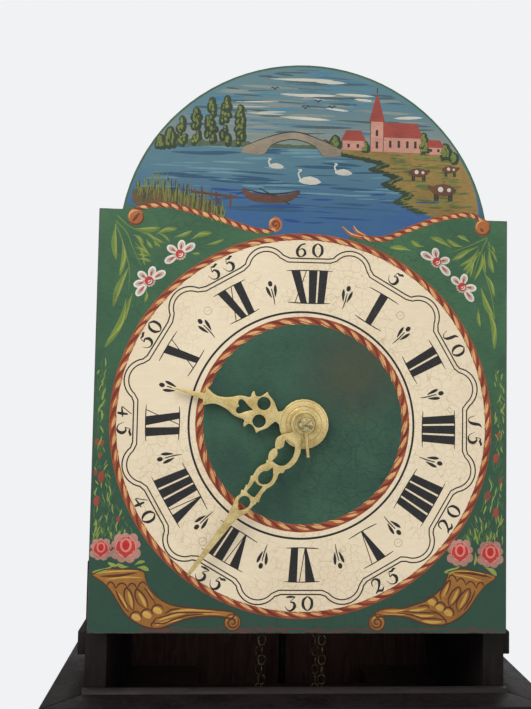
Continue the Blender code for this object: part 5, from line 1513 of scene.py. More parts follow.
@dataclass
class Blossoms(Painted):
    """White flowers with their leaves in the upper corners."""

    leaves: tuple[tuple[float, float, float, float, float], ...] = (
        (-120.5, 133.7, -102.5, 134.8, 1.9), (-105.3, 130.2, -90.8, 134.6, 1.8),
        (-92.6, 128.6, -80.5, 133.5, 1.4), (-80.8, 127.5, -66.7, 132.4, 1.9),
        (-70, 123.9, -57.8, 128.2, 1), (-120.9, 129.7, -113.9, 123, 1.6),
        (-112, 126.5, -107.5, 120.3, 1.3), (-107.2, 125.7, -104.6, 121.8, 0.9),
        (-105.2, 125.3, -102.2, 121.4, 0.8), (-119.6, 120.4, -110.3, 116.7, 1.4),
        (-118.1, 116, -110.3, 115.2, 1), (-118, 112.5, -108.2, 110.9, 1),
        (-133.4, 136.8, -132.4, 111.6, 1.8), (-128.8, 126, -129.6, 100.4, 1.7),
        (-123.6, 106.4, -133.4, 78.7, 2.1), (-124.8, 84.8, -138.3, 50.5, 2.2),
        (-120.4, 88.6, -124.8, 69.7, 1.2), (-111.1, 91.1, -111.8, 82.3, 1.2),
        (-80.6, 117.6, -74.3, 117.8, 1), (-115.1, 131.7, -104.8, 125.1, 1),
        (-109.5, 130, -100.1, 124.1, 1), (-103.9, 131.2, -95.5, 125.1, 0.9),
        (-118, 127.5, -108.6, 114.4, 1), (-119.6, 124.1, -112.5, 108, 0.9),
        (117.8, 131.5, 108.5, 135.8, 1.4), (112.7, 127.8, 100.9, 133.1, 1.7),
        (104.5, 127.1, 88.7, 134.2, 1.8), (84.2, 127, 75, 131.3, 1.7), (75.1, 124.2, 59.9, 125.8, 1.8),
        (116.8, 126.4, 105.6, 118.5, 1.4), (117.8, 125, 108.7, 118.1, 0.9),
        (119.9, 121.5, 113.3, 110.7, 1.3), (121.9, 121.5, 118.4, 106.3, 1.2),
        (127, 122.7, 126, 113.1, 1.6), (131.6, 125.9, 135.3, 109.8, 1.8), (129.1, 108.6, 135.8, 92.6, 1.2),
        (126.1, 98.4, 135.9, 76.5, 2), (130.3, 84.4, 135.9, 55, 1.9), (124.1, 83.3, 125.7, 70.8, 1.2),
        (132.6, 130, 136.2, 124, 0.8), (124, 128.5, 104.7, 117.6, 1.1), (124.6, 126.8, 110.3, 113.8, 1.1),
        (125.4, 124.8, 114.4, 105.6, 1.1), (126.8, 123.6, 121, 103.6, 1.1), (128.4, 124.6, 129.4, 110, 1),
        (130.4, 128, 138, 117, 0.9),
    )
    flowers: tuple[tuple[Point, tuple[Point, ...]], ...] = (
        ((-88.4, 116.9), ((-6, 3.5), (1, 6.5), (7.4, 5.4), (-7.4, -4.5))),
        ((-109.3, 97.5), ((-5, 3.8), (2, 6.8), (8.2, 5), (-7.4, -2.4), (-6.4, -8))),
        ((93.9, 116.7), ((-8.5, 4.6), (-1, 6.5), (6, 1), (7, -7))),
        ((112.3, 99.1), ((-5, 4.5), (1.4, 6), (7, -0.6), (6, -7.5))),
    )

    def flower(self, x: float, z: float, petals: tuple[Point, ...], paints: dict[str, Brush]) -> None:
        """Paint one flower.

        Args:
            x: middle of its heart.
            z: height of its heart.
            petals: directions and reach of the petals.
            paints: brushes by colour, added to.
        """
        for dx, dz in petals:
            size = math.hypot(dx, dz)

            def at(share: float, more: float = 0.0) -> Point:
                """Return a point along the petal."""
                reach = share + more / size
                return (x + dx * reach, z + dz * reach)

            paints["white"].stroke([at(0.3), at(0.7, 1), at(1, 3.4)], [0.9, 1.8, 2.5, 2.8, 2.3, 0.8], 6)
            paints["blush"].stroke([at(0.5), at(0.8, 0.4), at(1, 2)], [0.5, 1.1, 1.6, 1.6, 0.5], 5)
            paints["red"].lens(at(0.5), at(1, 0.4), 0.6)
        for k in range(7):
            px, pz = polar(3.7, 95 + k * 28)
            paints["blush"].dot((x + px, z + pz), 0.85)
        paints["red"].dot((x, z), 3.1)
        paints["glint"].stroke(arc(1.9, 60, 210, 6, (x, z)), [0.1, 0.42, 0.45, 0.1], 1)
        paints["glint"].lens((x - 0.9, z - 0.7), (x + 1.2, z + 0.3), 0.4)

    def build(self) -> None:
        """Paint stems, leaves and flowers."""
        stems, leaves, shades = Brush(), Brush(), Brush()
        for points in (
            [(-132.4, 142.7), (-124.9, 136), (-115.1, 131.4), (-105.3, 127.7), (-97.4, 123.5)],
            [(-133.2, 138.7), (-125.8, 131.1), (-121.6, 121.3), (-115.4, 108.2)],
            [(-133.7, 136.7), (-129.6, 128), (-125.3, 114.3), (-123.1, 104.5), (-123.2, 90.8)],
            [(130.5, 135), (125.9, 132.8), (116.8, 128.5), (102.5, 123)],
            [(130.6, 134), (126, 124.7), (119.9, 106.3)],
            [(131.6, 132), (134.2, 109.7)],
            [(126, 116), (129.1, 108.6), (134, 92), (136.4, 76.5)],
        ):
            stems.stroke(points, [0.55, 0.4, 0.32, 0.15])
        for index, (x0, z0, x1, z1, width) in enumerate(self.leaves):
            bend = 0.08 if index % 2 else -0.06
            leaves.leaf((x0, z0), (x1, z1), width, bend)
            shades.leaf((x0, z0), (x1 + (x0 - x1) * 0.12, z1 + (z0 - z1) * 0.12), width * 0.42, bend + 0.05)
        paints = {name: Brush() for name in ("white", "blush", "red", "glint")}
        for (x, z), petals in self.flowers:
            self.flower(x, z, petals, paints)
        self.put(stems, "blossom_stems", 0.15, "leaf_light")
        self.put(leaves, "blossom_leaves", 0.14, "leaf_light")
        self.put(shades, "blossom_leaf_lights", 0.21, "leaf_pale")
        self.put(paints["white"], "blossom_petals", 0.15, "petal_white")
        self.put(paints["blush"], "blossom_blush", 0.26, "petal_grey")
        self.put(paints["red"], "blossom_hearts", 0.34, "rose_red")
        self.put(paints["glint"], "blossom_glints", 0.5, "petal_white", 0.06)


@dataclass
class Horns(Painted):
    """Horns of plenty with roses in the lower corners."""

    left_edge: tuple[Point, ...] = (
        (-142.9, -104.9), (-138.6, -102.5), (-131.5, -100.7), (-122.7, -100.8), (-114.6, -100.9),
        (-107.7, -102.5), (-106.4, -106.8), (-103.9, -113.2), (-98.9, -118.7), (-91.5, -123.5),
        (-82.6, -125.9), (-71.2, -127), (-59.9, -127.9), (-50.8, -128.6), (-45, -130), (-47, -133.6),
        (-53.3, -132.7), (-61.4, -132.2), (-72.7, -133), (-82.3, -135.4), (-90.3, -138.6), (-97.5, -140.5),
        (-106.4, -139.1), (-113.7, -135.5), (-119.4, -130.7), (-124.4, -123.6), (-129.5, -115.6),
        (-135.2, -109.6),
    )
    right_edge: tuple[Point, ...] = (
        (103.4, -101.7), (112.4, -99.4), (120.1, -100.4), (127.9, -101.8), (137.6, -104.9),
        (130.5, -110.6), (124.1, -118.1), (118.3, -126.9), (111.3, -133.1), (102.3, -137.5),
        (93.3, -138.1), (85.7, -136.8), (79.3, -134.4), (74.1, -132.7), (65.2, -131.7), (58.2, -131.9),
        (54, -132.8), (52, -130.2), (56.3, -127.6), (63.9, -126.4), (71.5, -126.7), (79.2, -124.5),
        (86.8, -122), (93.2, -118.2), (99.6, -112), (102.7, -105.7),
    )
    roses: tuple[tuple[float, float, float], ...] = (
        (-137, -87.2, 7.5), (-120.2, -86, 10.2), (111.9, -88, 9.4), (133.5, -89, 9.4),
    )

    def carving(self, dark: Brush, light: Brush) -> None:
        """Draw lips, tongues, scales and streaks on both horns.

        Args:
            dark: brown lines, added to.
            light: yellow lights, added to.
        """
        dark.lens((-137.4, -105.6), (-112, -103), 0.9, -0.03)
        dark.lens((107.6, -101.9), (134.2, -105.4), 0.9, 0.04)
        light.lens((-138, -103.4), (-110, -101.8), 0.55, 0.02)
        light.lens((106, -101), (133, -103.6), 0.5, 0.03)
        for row in (
            [(-132.4, -112.2), (-126.3, -113.9), (-118.4, -113.4), (-111.8, -114.2), (-105.6, -111.7)],
            [(103.6, -106.3), (109.8, -108.3), (116.3, -110.7), (123.6, -112.7), (129.4, -111.6)],
        ):
            for (x0, z0), (x1, z1) in zip(row, row[1:]):
                rise = [(0, 0), (0.22, 2.6), (0.5, 3.5), (0.78, 2.6), (1, 0)]
                lip = [(x0 + (x1 - x0) * t, z0 + (z1 - z0) * t + up) for t, up in rise]
                dark.stroke(lip, [0.2, 0.5, 0.5, 0.5, 0.2], 4)
        for points in (
            [(-126.3, -114.8), (-122.5, -122.8), (-117.1, -129.6)],
            [(-114.4, -128.6), (-119.7, -122), (-120.5, -116.1), (-119.1, -113.5), (-116.3, -115.6),
             (-113.9, -122), (-113.7, -128.6)],
            [(-104.8, -127.7), (-110.5, -123.9), (-113, -118.5), (-112.3, -114.3), (-108.3, -116.8),
             (-104.6, -122.7), (-104.3, -127.7)],
            [(-107.1, -113.2), (-103.4, -117.5), (-98.4, -125.4)],
            [(98.6, -120.9), (97.9, -116.9), (100.8, -111.3), (104.7, -107.2), (104.7, -111.3),
             (102.2, -117.2)],
            [(104.8, -125.6), (103.7, -121.4), (106.3, -115.4), (111.1, -111.9), (112.4, -115.9),
             (108.6, -122.2), (104.8, -125.6)],
            [(110.7, -128.9), (109.4, -123.4), (113.1, -116.9), (118.2, -113.1), (119.2, -117.1),
             (116.4, -123.4), (111.2, -128.9)],
            [(122.6, -114.6), (119.8, -121), (115, -128)],
            [(-100.6, -136.8), (-94, -137.2), (-85.7, -134.2), (-77.6, -131.8), (-66.3, -130.8)],
            [(-99.4, -133.8), (-92, -132.2), (-85, -130), (-77.7, -129.8), (-59.8, -129.9)],
            [(-100.8, -139.6), (-101.6, -137.8), (-99.8, -135.6), (-98.6, -133.4)],
            [(-92.6, -130.6), (-88, -127.8), (-82, -127.2)],
            [(101, -134.4), (93.6, -133.6), (85.6, -133.4), (77.3, -131), (68, -129.8)],
            [(95.4, -130), (88.6, -129.6), (81.7, -129.4), (71.5, -128.8)],
            [(101.6, -137.4), (102.4, -135.6), (99.6, -132.4), (95.6, -129.6), (91, -128)],
            [(90.6, -126.6), (88, -124.6), (82, -125.6)],
        ):
            dark.stroke(points, [0.2, 0.5, 0.55, 0.5, 0.2])
        for edge in (self.left_edge, self.right_edge):
            dark.stroke([*edge, edge[0]], [0.4, 0.25, 0.55, 0.6, 0.45, 0.4], 3)
        for x, z in (
            (-112, -133.2), (-104.7, -131.5), (-97.6, -128.6),
            (92.2, -122.6), (97.8, -126.4), (103.6, -129.8),
        ):
            lean = -26 if x < 0 else 26
            gleam = [(x - 2.8, z + 1.4), (x, z + 0.1), (x + 2.8, z - 1.5)]
            light.stroke(gleam, [0.9, 1.8, 2.2, 1.8, 0.9], 4)
            dark.stroke(arc(4.0, lean - 100, lean + 100, 12, (x, z)), [0.2, 0.5, 0.6, 0.5, 0.2], 1)
        for x0, z0, x1, z1, width in (
            (-118, -115.6, -114.8, -126.8, 1.1), (-111, -116.4, -105.6, -126.2, 1.1),
            (-124.6, -116.6, -118.2, -127.6, 0.8), (-104.8, -114.6, -100.2, -123.4, 0.7),
            (110.6, -113.8, 105.6, -123.6, 1.1), (117.4, -115.2, 111.4, -126.8, 1.1),
            (103.8, -109.4, 99.6, -118.6, 0.9), (121.2, -117.4, 116.4, -126.4, 0.6),
            (-99, -138.6, -80, -134.4, 1), (-97, -135.2, -78, -130.2, 1),
            (-89.4, -129.6, -58, -128.8, 0.9), (-74, -131.6, -54, -131.2, 0.4),
            (99.6, -136, 85, -135.2, 1.1), (93.6, -131.6, 78, -131, 0.9), (88.4, -126.8, 76, -128.2, 1),
            (74, -127.6, 58, -128.4, 0.55), (74, -130.8, 58, -130.4, 0.4),
            (-133, -107.8, -108, -106.6, 0.6), (106, -103.4, 128, -108.2, 0.5),
        ):
            light.lens((x0, z0), (x1, z1), width, 0.04)

    def rose(self, x: float, z: float, size: float, paints: dict[str, Brush]) -> None:
        """Paint one rose.

        Args:
            x: middle of the rose.
            z: height of its middle.
            size: its radius.
            paints: brushes by colour, added to.
        """
        for turn, out, share in (
            (-40, 0.72, 0.34), (-4, 0.66, 0.3), (38, 0.74, 0.34), (76, 0.72, 0.28), (122, 0.76, 0.36),
            (158, 0.76, 0.34), (200, 0.74, 0.32), (236, 0.78, 0.36), (286, 0.72, 0.28),
        ):
            px, pz = polar(size * out, turn)
            paints["pale"].dot((x + px, z + pz), size * share)
        for dx, dz, share, tall in (
            (-0.4, 0.08, 0.42, 1.25), (0.42, 0.06, 0.42, 1.25), (0, 0.3, 0.46, 1.1),
            (-0.16, -0.4, 0.42, 0.9), (0.24, -0.38, 0.4, 0.9), (0, 0, 0.52, 1.1),
        ):
            paints["red"].dot((x + dx * size, z + dz * size), size * share, tall)
        oval = [(x + px * 0.8, z + size * 0.14 + pz) for px, pz in ring(size * 0.4, 20)]
        paints["pink"].line(oval, size * 0.075, True)
        folds = ((34, 118, 0.68, 0.06), (128, 168, 0.62, 0.07), (10, 40, 0.74, 0.05))
        for side in (-1, 1):
            for first, last, out, wide in folds:
                fold = arc(size * out, side * first, side * last, 7, (x, z))
                paints["pink"].stroke(fold, [0.1, size * wide, size * wide, 0.1], 1)
        paints["heart"].dot((x, z + size * 0.12), size * 0.2, 1.35)
        paints["pink"].dot((x + size * 0.02, z + size * 0.2), size * 0.06, 1.2)

    def garlands(self, light: Brush, dark: Brush, reds: Brush) -> None:
        """Paint the loose sprays that rise from the horns.

        Args:
            light: yellow-green strokes, added to.
            dark: dark green strokes, added to.
            reds: buds, added to.
        """
        chance = random.Random(9)
        for side in (-1, 1):
            for k in range(260):
                z = -80 + 118 * (k / 260) ** 1.9 + chance.uniform(-2, 3)
                reach = max(6.0, 32 - (z + 79) * 0.26)
                x = side * (142.6 - chance.uniform(0, reach))
                long = chance.uniform(1.4, 3.6)
                if math.hypot(x, z - long) < 137 or math.hypot(x, z + long) < 137:
                    continue
                lean = chance.uniform(-1.4, 1.4)
                brush = (dark, light, dark)[k % 3]
                width, bend = chance.uniform(0.28, 0.6), chance.uniform(-0.1, 0.1)
                brush.lens((x - lean, z - long), (x + lean, z + long), width, bend)
        for x, z, size in (
            (-142, -14.7, 1.3), (-138.3, -15.6, 1.2), (-142.2, -35.8, 1.3), (-138.3, -38.6, 2.3),
            (-141, -55, 2), (-126, -67, 1.2), (-139.6, -24, 1.1), (137.4, -22.3, 2),
            (131.5, -48.6, 2), (137.4, -60.4, 2.1), (139, -6, 1.2), (140.6, -38, 1.2),
        ):
            reds.dot((x, z), size, 1.7)
            reds.dot((x + 0.7, z + size * 0.8), size * 0.6, 1.6)

    def build(self) -> None:
        """Paint both corners."""
        ochre, dark, light, sprays, shade, buds = (Brush() for _ in range(6))
        loops = [flow([*edge, edge[0]], 4)[:-1] for edge in (self.left_edge, self.right_edge)]
        for x, turn in ((-46.4, 1), (53.6, -1)):
            ochre.dot((x, -136.4), 5.6)
            scroll = spiral((x, -136.4), 30 * turn, 560 * turn, 4.6, 0.8)
            dark.stroke(scroll, [0.15, 0.5, 0.55, 0.5, 0.3], 1)
            dark.line(ring(5.6, 24, (x, -136.4)), 0.35, True)
            light.stroke(arc(3.9, -80, 60, 6, (x, -136.4)), [0.1, 0.5, 0.1], 1)
        self.carving(dark, light)
        paints = {name: Brush() for name in ("pale", "red", "pink", "heart")}
        for x, z, size in self.roses:
            self.rose(x, z, size, paints)
        self.garlands(sprays, shade, buds)
        for x0, z0, x1, z1, width in (
            (-128, -98.2, -142.4, -103, 1.6), (-124, -98.4, -132, -96.4, 1.2),
            (-118, -99.2, -126, -97.2, 1.3), (-112, -99.6, -104.2, -101.6, 1.5),
            (-114, -98, -107, -95.6, 1.1), (112, -97.4, 100.8, -101.8, 1.7), (110, -96.8, 117, -95.2, 1),
            (130, -98.6, 138, -104, 1.6), (122.6, -88, 122, -97, 0.9),
        ):
            sprays.leaf((x0, z0), (x1, z1), width)
        buds.lens((127.5, -102.4), (132, -103.8), 0.9)
        self.sheet("horn_bodies", loops, 0.05, 0.18, "horn_ochre")
        self.put(ochre, "horn_scrolls", 0.12, "horn_ochre", 0.02)
        self.put(light, "horn_lights", 0.2, "horn_yellow", 0.06)
        self.put(dark, "horn_lines", 0.26, "horn_brown", 0.08)
        self.put(shade, "garland_shade", 0.13, "leaf_dark")
        self.put(sprays, "garland_sprays", 0.16, "leaf_pale")
        self.put(buds, "garland_buds", 0.17, "bud_red", 0.06)
        self.put(paints["pale"], "rose_edges", 0.15, "rose_pale", 0.04)
        self.put(paints["red"], "rose_bodies", 0.17, "rose_red", 0.03)
        self.put(paints["pink"], "rose_petals", 0.38, "rose_pink", 0.06)
        self.put(paints["heart"], "rose_hearts", 0.35, "flower_red", 0.06)


@dataclass
class ArchPicture(Painted):
    """A plain river view in the arch: poplars, stone bridge, church, cows, swans and reeds."""

    rise: float = 0.04
    back: float = 0.04
    horizon: float = 196.0
    radius: float = 129.5
    middle: float = 124.5
    water_side: float = 151.0
    cows: tuple[tuple[float, float, float, int], ...] = (
        (80, 180, 1.35, 1), (98, 168, 1.8, -1), (103, 183, 1.1, 1),
    )

    def reach(self, z: float, inset: float = 0.0) -> float:
        """Return half of the arch's width at a height.

        Args:
            z: the height.
            inset: distance kept from the edge.

        Returns:
            The half-width in millimetres.
        """
        return math.sqrt(max((self.radius - inset) ** 2 - (z - self.middle) ** 2, 0.0))

    def streak(self, brush: Brush, x: float, z: float, long: float, width: float, tilt: float) -> None:
        """Add a level stroke that stays inside the arch and above the ropes.

        Args:
            brush: strokes, added to.
            x: middle of the stroke.
            z: its height.
            long: its length.
            width: half of its greatest width.
            tilt: rise from one end to the other.
        """
        room = self.reach(z + abs(tilt) + width, 1.2)
        start, end = max(x - long / 2, -room), min(x + long / 2, room)
        if end - start > 3 and z > 139 + 0.13 * max(abs(start), abs(end)):
            brush.lens((start, z - tilt / 2), (end, z + tilt / 2), width)

    def lower_edge(self) -> list[Point]:
        """Draw the picture's lower edge.

        Returns:
            Its points from right to left.
        """
        right = [(124.5, 149.2), (118.7, 151), (109.5, 150.6), (94.2, 147.2), (76, 140.2), (59.8, 133.8)]
        right += [(52.8, 132.6), (38.7, 133.2), (31, 133)]
        left = [(-24, 134), (-29, 135), (-36.7, 135.6), (-46.7, 138), (-66.5, 144.4), (-86.3, 149.2)]
        left += [(-96.1, 151.3), (-105.9, 151), (-115, 148.2)]
        return right + list(reversed(arc(131.8, -10.0, 13.0, 8))) + left

    def background(self) -> None:
        """Paint sky and water with level strokes."""
        side = math.degrees(math.acos((self.horizon - self.middle) / self.radius))
        low = math.degrees(math.acos((self.water_side - self.middle) / self.radius))
        middle = (0.0, self.middle)
        right, left = arc(self.radius, side, low, 10, middle), arc(self.radius, -low, -side, 10, middle)
        water = right + self.lower_edge() + left
        sky = arc(self.radius, -side - 0.4, side + 0.4, 60, middle)
        self.sheet("picture_sky", [sky], self.back, 0.17, "sky")
        self.sheet("picture_water", [water], self.back, 0.18, "water")
        chance = random.Random(21)
        for name, finish, count, base, span in (
            ("picture_sky_blue", "sky_blue", 46, 0.165, (206, 252)),
            ("picture_sky_dark", "sky_dark", 44, 0.17, (200, 252)),
            ("picture_clouds", "cloud_grey", 52, 0.175, (198, 240)),
            ("picture_cloud_lights", "cloud_white", 16, 0.18, (214, 246)),
            ("picture_water_light", "ripple_light", 44, 0.175, (158, 195)),
            ("picture_water_dark", "ripple_dark", 56, 0.18, (142, 194)),
            ("picture_water_deep", "ripple_deep", 40, 0.185, (138, 164)),
        ):
            brush = Brush()
            for _ in range(count):
                z = chance.uniform(*span)
                long = chance.uniform(12, 46)
                x = chance.uniform(-1, 1) * (self.reach(z) - 6)
                self.streak(brush, x, z, long, chance.uniform(0.25, 1.25), chance.uniform(-1.6, 1.6))
            self.put(brush, name, base, finish, 0.02)

    def village(self) -> None:
        """Paint the far shore with its church and roofs."""
        shore, walls, roofs, lines = Brush(), [], [], Brush()
        chance = random.Random(5)
        for k in range(46):
            x = -104 + 124 * k / 46
            tall = chance.uniform(0.5, 2.6) * (1.2 if x < -40 else 0.6)
            shore.lens((x - 4, 195.6), (x + 5, 196 + tall * 0.5), tall)
        for x, z, wide, tall in ((25, 195, 16, 15), (85, 194, 13, 11)):
            walls.append([(x, z), (x + wide, z), (x + wide, z + tall * 0.5), (x, z + tall * 0.5)])
            eaves, ridge = z + tall * 0.46, z + tall * 0.46 + tall * 0.5
            roofs.append([(x - 1, eaves), (x + wide + 1, eaves), (x + wide - 2.6, ridge), (x + 2.6, ridge)])
        walls.append([(45, 194.6), (54.4, 194.6), (54.4, 217), (45, 217)])
        walls.append([(54.6, 194.6), (82, 194.6), (82, 206), (54.6, 206)])
        roofs.append([(44, 216.4), (55.4, 216.4), (49.7, 238)])
        roofs.append([(54.2, 205.2), (83.4, 205.2), (78.6, 216), (54.2, 216)])
        for x, low, high in (
            (49.7, 197, 202), (49.7, 206, 210.4), (59.4, 198, 203), (65.6, 198, 203), (71.8, 198, 203),
            (77.6, 198, 203), (29.4, 197, 199.6), (36, 197, 199.6), (89, 196, 198), (94.4, 196, 198),
        ):
            lines.line([(x, low), (x, high)], 0.9)
        for k in range(5):
            lines.stroke([(55 + k * 5.6, 206.4), (55.6 + k * 5.2, 215.4)], [0.1, 0.22, 0.1])
        lines.line([(49.7, 237.4), (49.7, 241)], 0.3)
        lines.stroke([(45, 194.6), (45, 216.8), (54.4, 216.8), (54.4, 195)], [0.2, 0.3, 0.2], 1)
        self.put(shore, "picture_far_shore", 0.19, "bush_far", 0.03)
        self.sheet("picture_village_walls", walls, self.back, 0.27, "wall_pink")
        self.sheet("picture_village_roofs", roofs, self.back, 0.29, "tile_red")
        self.put(lines, "picture_village_windows", 0.28, "line_dark")

    def meadow(self) -> None:
        """Paint the right bank with its bridge, poplars and cows."""
        bank = [
            (121.8, 166), (117.4, 178), (111.6, 188), (107, 193.5), (92, 195.4), (70, 196.6), (44, 196.8),
            (28, 195.4), (18, 192.4), (36, 189.6), (54, 185.6), (48, 181.6), (64, 176), (57, 171),
            (72, 164), (66, 158.6), (82, 151.4), (94.2, 148.6), (109.5, 152), (118.7, 152.4), (124, 151.6),
        ]
        self.sheet("picture_right_bank", [flow([*bank, bank[0]], 3)[:-1]], self.back, 0.20, "bank_ochre")
        edge, grass, dabs, trees, crowns = (Brush() for _ in range(5))
        chance = random.Random(33)
        water_line = flow(bank[8:17], 5)
        for x, z in water_line:
            end = (x + 5.5, z + chance.uniform(-0.4, 0.8))
            edge.lens((x - 4.5, z - 0.4), end, chance.uniform(0.7, 1.5))
            dabs.lens((x + 1, z + 0.8), (x + chance.uniform(3, 6), z + 1.4), chance.uniform(0.2, 0.5))
        for _ in range(120):
            z = chance.uniform(153, 193)
            x = chance.uniform(60, 118)
            if x > 62 + (187 - z) * 0.5 and x < self.reach(z, 9):
                brush = chance.choice((grass, grass, dabs))
                start = (x - chance.uniform(3, 7), z)
                end = (x + chance.uniform(3, 6), z + chance.uniform(-0.8, 0.8))
                brush.lens(start, end, chance.uniform(0.3, 0.9))
        for x, z, tall, half in (
            (-89, 194, 21, 4.2), (-79, 194.4, 29, 4.6), (-68.5, 195, 35, 5), (-58, 195, 38, 5),
            (-48, 195, 31, 4.6), (-97, 193, 13, 4.6), (-104, 192, 8, 4.2), (20, 195, 9, 4.4),
            (13, 194.6, 6, 3.6), (84, 194, 15, 4.6), (100, 191.6, 10, 4.4), (106, 188.6, 7, 3.6),
            (41.4, 194.4, 7, 3.2),
        ):
            for _ in range(34):
                share = chance.uniform(0.06, 1.0)
                room = half * math.sin(math.pi * min(share * 0.84 + 0.16, 0.99)) ** 0.6
                dx, top = chance.uniform(-1, 1) * room * 0.7, z + tall * share * 0.9
                trees.dot((x + dx, top), half * chance.uniform(0.34, 0.56), 1.3)
                crowns.dot((x + dx * 0.8 - 0.6, top + 0.5), half * chance.uniform(0.1, 0.2), 1.5)
        self.put(grass, "picture_grass", 0.21, "bank_green")
        self.put(edge, "picture_bank_edge", 0.21, "bush_dark")
        self.put(dabs, "picture_bank_lights", 0.25, "bush_light")
        self.put(trees, "picture_trees", 0.22, "bush_dark", 0.03)
        self.put(crowns, "picture_tree_lights", 0.27, "bush_light", 0.05)
        deck = flow([(-46, 194.4), (-30, 201.6), (-10, 206.6), (8, 202), (24, 195)], 5)
        under = [(24, 190.6), (12, 189.8), (5, 197), (-10, 201.4), (-25, 197.2), (-32, 189.6), (-47, 190.4)]
        under = flow(under, 4)
        self.sheet("picture_bridge", [deck + under], self.back, 0.30, "stone_grey")
        lines, hides, patches = Brush(), Brush(), Brush()
        lines.stroke(deck, [0.25, 0.5, 0.25], 1)
        lines.stroke(under[4:-4], [0.2, 0.4, 0.2], 1)
        for x, z, size, side in self.cows:
            for dx in (-3.2, -2.2, 2.4, 3.4):
                lines.line([(x + dx * size, z - 4.2 * size), (x + dx * size, z)], 0.42 * size)
            lines.stroke([(x - side * 4 * size, z + 1.6), (x - side * 5 * size, z - 1.4)], [0.3, 0.2])
            hides.lens((x - 5.4 * size, z + 0.6), (x + 5.4 * size, z + 0.4), 2.5 * size)
            head = [(x + side * 4 * size, z + 1.0), (x + side * 6.2 * size, z + 1.6 * size)]
            hides.stroke(head, [1.2 * size, 0.6 * size])
            patches.dot((x - size, z + 0.8), 1.1 * size)
            patches.dot((x + 2.4 * size, z + 0.5), 0.8 * size)
        self.put(lines, "picture_bridge_lines", 0.29, "line_dark")
        self.put(hides, "picture_cows", 0.31, "hull_brown")
        self.put(patches, "picture_cow_patches", 0.46, "cloud_white")

    def shore(self) -> None:
        """Paint the left shore with reeds, a jetty, a skiff and swans."""
        bank = [(-122.6, 161), (-112, 164), (-96, 162), (-80, 158), (-66, 152.5), (-57, 147)]
        bank += [(-66.5, 145.6), (-86.3, 150.4), (-96.1, 152.5), (-105.9, 152.2), (-115, 150), (-122, 152)]
        self.sheet("picture_left_bank", [flow([*bank, bank[0]], 3)[:-1]], self.back, 0.22, "bank_brown")
        reeds, blades, tips, posts, swans, lines = (Brush() for _ in range(6))
        chance = random.Random(12)
        for k in range(110):
            x = -119 + 62 * k / 110 + chance.uniform(-1.5, 1.5)
            z = 163 - max(0, (x + 104)) * 0.34 + chance.uniform(-9, 2)
            tall = min(chance.uniform(4, 15), self.middle + math.sqrt(max(126.5**2 - x * x, 0)) - z)
            lean = chance.uniform(-1.5, 2.5)
            brush = reeds if k % 3 else blades
            width, bend = chance.uniform(0.25, 0.5), chance.uniform(-0.08, 0.08)
            brush.lens((x, z - 2), (x + lean, z + tall), width, bend)
            if k % 7 == 0 and x > -108:
                tips.dot((x + lean, z + tall), 0.55, 2.6)
        for x in (-74, -64, -54):
            posts.line([(x, 152.5 - (x + 74) * 0.1), (x, 163 - (x + 74) * 0.12)], 0.7)
        posts.line([(-82, 161.4), (-50, 158.4)], 0.9)
        posts.stroke([(-46, 164), (-37, 158.6), (-16, 158.4), (-5, 163.8)], [0.7, 2.6, 2.8, 2.6, 0.7])
        lines.stroke([(-46, 164.8), (-26, 161.4), (-5, 164.6)], [0.2, 0.5, 0.2])
        lines.line([(-34, 165.4), (-12, 154.6)], 0.35)
        lines.line([(-50, 159.8), (-46, 162.4)], 0.15)
        for x, z, size in ((-22, 181, 1.2), (2, 171, 1.8), (26, 178, 1.4)):
            swans.lens((x - 4.5 * size, z + 0.4), (x + 4.5 * size, z), 1.7 * size, 0.05)
            neck = [(-3.6, 0.6), (-4.6, 3.2), (-3.4, 4.6), (-4.8, 4.8)]
            swans.stroke([(x + dx * size, z + dz * size) for dx, dz in neck], [0.7, 0.5, 0.6, 0.3])
        for x, z in ((-2, 224), (7, 229), (17, 225), (-24, 237)):
            wings = [(-3, 0.6), (-1.4, 1.5), (0, 0), (1.5, 1.6), (3.2, 0.8)]
            lines.stroke([(x + dx, z + dz) for dx, dz in wings], [0.1, 0.3, 0.3, 0.3, 0.1])
        self.put(reeds, "picture_reeds", 0.24, "bush_light")
        self.put(blades, "picture_dark_reeds", 0.23, "bush_dark")
        self.put(tips, "picture_reed_heads", 0.27, "hull_brown", 0.08)
        self.put(posts, "picture_jetty", 0.25, "hull_brown")
        self.put(swans, "picture_swans", 0.21, "cloud_white")
        self.put(lines, "picture_oars_and_birds", 0.32, "line_dark")

    def build(self) -> None:
        """Paint the picture from back to front."""
        self.background()
        self.village()
        self.meadow()
        self.shore()


